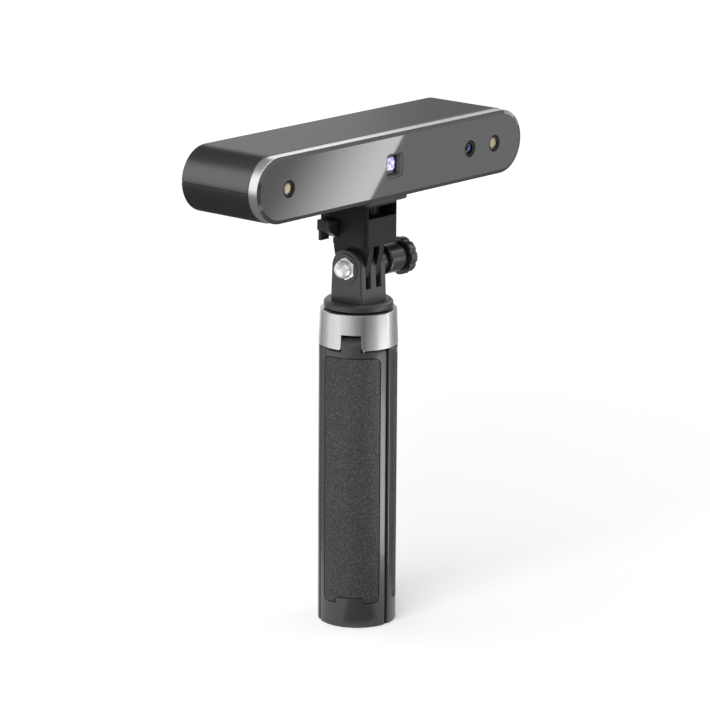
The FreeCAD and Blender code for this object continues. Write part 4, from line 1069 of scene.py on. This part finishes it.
@dataclass
class Studio:
    """Plain pale floor, white surroundings, soft lamps, and the camera."""

    place: Point = (-1.07245, -0.92957, 0.46579)
    yaw: float = 49.07108
    pitch: float = 14.2233
    roll: float = 0.34608
    lens: float = 191.48
    reach: float = 4.0
    paper: str = "#ececec"
    fill: float = 0.25
    glass_front: float = -0.0191
    card_gap: float = 0.25

    def build(self) -> None:
        """Set up floor, world, lamps, cards and camera."""
        self.camera()
        self.world()
        self.floor()
        self.lamp("left_softbox", (-0.85, -0.25, 0.5), 0.12, 0.7, 8.4)
        self.lamp("right_softbox", (1.0, -0.5, 0.45), 0.12, 0.6, 2.0)
        self.lamp("top_softbox", (-0.1, 0.2, 1.3), 0.1, 0.9, 5.0)
        self.front_cloth()
        self.flags()
        self.glass_card()
        bpy.context.scene.view_settings.view_transform = "Standard"

    def camera(self) -> None:
        """Make the camera from its place and its three turns."""
        yaw, pitch, roll = (math.radians(turn) for turn in (self.yaw, self.pitch, self.roll))
        ahead = np.array([math.sin(yaw) * math.cos(pitch), math.cos(yaw) * math.cos(pitch),
                          -math.sin(pitch)])
        level = np.array(self.across(0.0, 1.0, 0.0))
        up = np.cross(level, ahead)
        right = math.cos(roll) * level + math.sin(roll) * up
        top = -math.sin(roll) * level + math.cos(roll) * up
        lens = bpy.data.cameras.new("camera")
        lens.sensor_width, lens.lens = 36.0, self.lens
        lens.clip_start, lens.clip_end = 0.05, 50.0
        bpy.context.scene.camera = self.stood("camera", lens, (right, top, -ahead, self.place))

    def stood(self, name: str, data: bpy.types.ID, columns: tuple) -> Piece:
        """Stand a camera or a lamp in the scene, by its three axes and its place, in metres."""
        piece = bpy.data.objects.new(name, data)
        matrix = np.eye(4)
        matrix[:3] = np.stack(columns, -1)
        piece.matrix_world = Matrix(matrix.tolist())
        bpy.context.scene.collection.objects.link(piece)
        return piece

    def seen(self, tree: Tree) -> Node:
        """Return 1 for camera, glossy and transmission rays, and 0 for all others."""
        rays = add(tree, "LightPath").outputs
        both = add(tree, "Math", {0: rays["Is Camera Ray"], 1: rays["Is Glossy Ray"]},
                   operation="MAXIMUM")
        return add(tree, "Math", {0: both, 1: rays["Is Transmission Ray"]}, operation="MAXIMUM")

    def world(self) -> None:
        """Make white surroundings, which light the object at a lower level than they show."""
        world = bpy.data.worlds.new("studio")
        tree = blank(world)
        level = add(tree, "MapRange", {"Value": self.seen(tree), "To Min": self.fill})
        light = add(tree, "Background", {"Color": linear(WHITE), "Strength": level})
        add(tree, "OutputWorld", {"Surface": light})
        bpy.context.scene.world = world

    def sheet(self, name: str, corners: list[Point], look: str) -> tuple[Piece, Tree]:
        """Make a flat stage sheet of four corners, in metres, and its material's empty tree."""
        mesh = bpy.data.meshes.new(name)
        mesh.from_pydata(corners, [], [(0, 1, 2, 3)])
        sheet = bpy.data.objects.new(name, mesh)
        bpy.context.scene.collection.objects.link(sheet)
        material = bpy.data.materials.new(look)
        mesh.materials.append(material)
        return sheet, blank(material)

    def floor(self) -> None:
        """Make the pale floor, which keeps the object's soft shadow."""
        reach = self.reach
        _, tree = self.sheet("floor", rectangle((-reach, -reach, 0.0), (reach, reach, 0.0)),
                             "matt_white_paper")
        place = add(tree, "TexCoord").outputs["Object"]
        fibre = add(tree, "TexNoise", {"Vector": place, "Scale": 900.0})
        tint = add(tree, "Mix", {0: fibre, 6: shade(self.paper, 0.98), 7: linear(self.paper)},
                   data_type="RGBA")
        far = add(tree, "VectorMath", {0: place}, operation="LENGTH")
        lift = add(tree, "MapRange", {"Value": far, "From Min": 0.15, "From Max": 1.2,
                                      "To Min": 0.35, "To Max": 0.8})
        level = add(tree, "Math", {0: self.seen(tree), 1: lift}, operation="MULTIPLY")
        shader = add(tree, "BsdfPrincipled", {
            "Base Color": tint, "Roughness": 0.9, "Specular IOR Level": 0.0,
            "Emission Color": linear(WHITE), "Emission Strength": level})
        add(tree, "OutputMaterial", {"Surface": shader})

    def lamp(self, name: str, place: Point, aim: float, size: float, power: float) -> None:
        """Make a square soft lamp.

        Args:
            name: Name of the lamp.
            place: Its place, in metres.
            aim: Height that it faces above the middle of the floor, in metres.
            size: Length of its sides, in metres.
            power: Its power, in watts.
        """
        light = bpy.data.lights.new(name, "AREA")
        light.shape, light.size, light.energy = "SQUARE", size, power
        away = np.array(place) - (0.0, 0.0, aim)
        away /= np.linalg.norm(away)
        level = np.cross((0.0, 0.0, 1.0), away)
        level /= np.linalg.norm(level)
        lamp = self.stood(name, light, (level, np.cross(away, level), away, place))
        lamp.visible_camera = False

    def across(self, nearer: float, aside: float, height: float) -> Point:
        """Return a place given by how far it is nearer to the camera, and to its right."""
        yaw = math.radians(self.yaw)
        return (aside * math.cos(yaw) - nearer * math.sin(yaw),
                -nearer * math.cos(yaw) - aside * math.sin(yaw), height)

    def flag(self, name: str, corners: list[Point], level: float, look: str = "") -> Node:
        """Hang a cloth or a card that only reflections see.

        Args:
            name: Name of the sheet.
            corners: Its four corners, in metres.
            level: Its light, where 1 is white.
            look: Name of its material, where that isn't the sheet's name with "felt".

        Returns:
            The node that gives off its light.
        """
        sheet, tree = self.sheet(name, corners, look or f"{name}_felt")
        sheet.visible_camera = sheet.visible_diffuse = sheet.visible_shadow = False
        light = add(tree, "Emission", {"Color": linear(WHITE), "Strength": level})
        add(tree, "OutputMaterial", {"Surface": light})
        return light

    def front_cloth(self) -> None:
        """Hang the cloth before the object: dark in the middle and white at both sides."""
        level, middle, near, far = 0.14, 0.05, 0.03, 0.48
        corners = [self.across(0.3, aside, height) for aside, height in
                   ((-0.5, 0.0), (0.6, 0.0), (0.6, 0.45), (-0.5, 0.45))]
        light = self.flag("front_cloth", corners, level)
        tree = light.id_data
        place = add(tree, "TexCoord").outputs["Object"]
        along = add(tree, "VectorMath", {0: place, 1: self.across(0.0, 1.0, 0.0)},
                    operation="DOT_PRODUCT")
        shift = add(tree, "Math", {0: along, 1: middle}, operation="SUBTRACT")
        away = add(tree, "Math", {0: shift}, operation="ABSOLUTE")
        grey = add(tree, "MapRange", {"Value": away, "From Min": near, "From Max": far,
                                      "To Min": level, "To Max": 1.0}, interpolation_type="SMOOTHSTEP")
        feed(tree, light, {"Strength": grey})

    def flags(self) -> None:
        """Hang plain cloths and cards, for the dark and bright bands on metal and glass."""
        # Level, and the corners' distances nearer to the camera and to its right.
        lying = {
            "front_floor_cloth": (0.1, (0.02, -0.01), (0.02, 0.02), (0.3, 0.2), (0.3, -0.1)),
            "right_floor_card": (8.0, (0.0, 0.1), (0.06, 0.1), (0.2, 0.36), (0.0, 0.36)),
            "right_floor_cloth": (0.3, (0.0, 0.06), (-0.02, 0.45), (-0.5, 0.45), (-0.25, 0.06)),
            "left_floor_cloth": (0.4, (-0.03, -0.08), (-0.15, -0.85), (-0.8, -0.6), (-0.15, -0.05))}
        for name, (level, *spots) in lying.items():
            self.flag(name, [self.across(*spot, 0.0006) for spot in spots], level)
        # Level, and two opposite corners.
        square = {
            "end_cloth": (0.17, (-0.28, -0.06, 0.152), (-0.03, 0.2, 0.152)),
            "rear_cloth": (0.03, (-0.36, 0.5, 0.5), (0.36, 0.5, 1.15)),
            "side_cloth": (0.5, (0.6, 0.5, 0.15), (1.2, 0.5, 0.7)),
            "upper_right_card": (2.2, (0.6, -0.45, 0.45), (0.6, 0.05, 0.95)),
            "glass_cloth": (0.04, (-0.2, -0.28, 0.07), (0.5, -0.28, 0.2)),
            "upper_glass_cloth": (0.85, (-0.2, -0.28, 0.2), (0.5, -0.28, 0.45)),
            "right_cloth": (0.35, (0.45, -0.2, 0.0), (0.45, 0.25, 0.16))}
        for name, (level, start, end) in square.items():
            self.flag(name, rectangle(start, end), level)

    def glass_card(self) -> None:
        """Stand a card where the front glass mirrors it, lit up to a slanting edge."""
        y = self.glass_front - self.card_gap
        light = self.flag("reflector_card", rectangle((0.16, y, 0.05), (0.46, y, 0.16)), 1.0,
                          "graduated_card")
        tree = light.id_data
        place = add(tree, "TexCoord").outputs["Object"]
        parts = add(tree, "SeparateXYZ", {"Vector": place}).outputs
        low, high = self.mirrored(-0.0136, 0.173), self.mirrored(0.00495, 0.19468)
        slope = (high[0] - low[0]) / (high[1] - low[1])
        slant = add(tree, "Math", {0: parts["Z"], 1: -slope, 2: parts["X"]}, operation="MULTIPLY_ADD")
        edge = low[0] - slope * low[1]
        left = self.mirrored(-0.075, 0.1835)[0] - slope * 0.105
        bright = add(tree, "MapRange", {"Value": slant, "From Min": left, "From Max": edge,
                                        "To Min": 0.7, "To Max": 5.6}, interpolation_type="SMOOTHSTEP")
        beyond = add(tree, "Math", {0: slant, 1: edge}, operation="GREATER_THAN")
        level = add(tree, "Mix", {0: beyond, 2: bright, 3: 1.1}, data_type="FLOAT")
        feed(tree, light, {"Strength": level})

    def mirrored(self, x: float, z: float) -> Flat:
        """Return where the camera sees the card through a point of the glass.

        The line from the mirrored camera through the point is drawn on as far as the card.

        Args:
            x: Place of the point along the head, in metres.
            z: Its height, in metres.

        Returns:
            Place and height on the card, in metres.
        """
        share = self.card_gap / (self.glass_front - self.place[1])
        return (x + (x - self.place[0]) * share, z + (z - self.place[2]) * share)


def main() -> None:
    """Build the sub-assemblies and the studio."""
    logging.basicConfig(level=logging.INFO, format="%(name)s: %(message)s")
    for assembly in (ScanningHead(), Bracket(), TiltJoint(), Grip(), Studio()):
        LOG.info("building %s", type(assembly).__name__)
        assembly.build()
    bpy.context.view_layer.update()


if __name__ == "__main__":
    main()
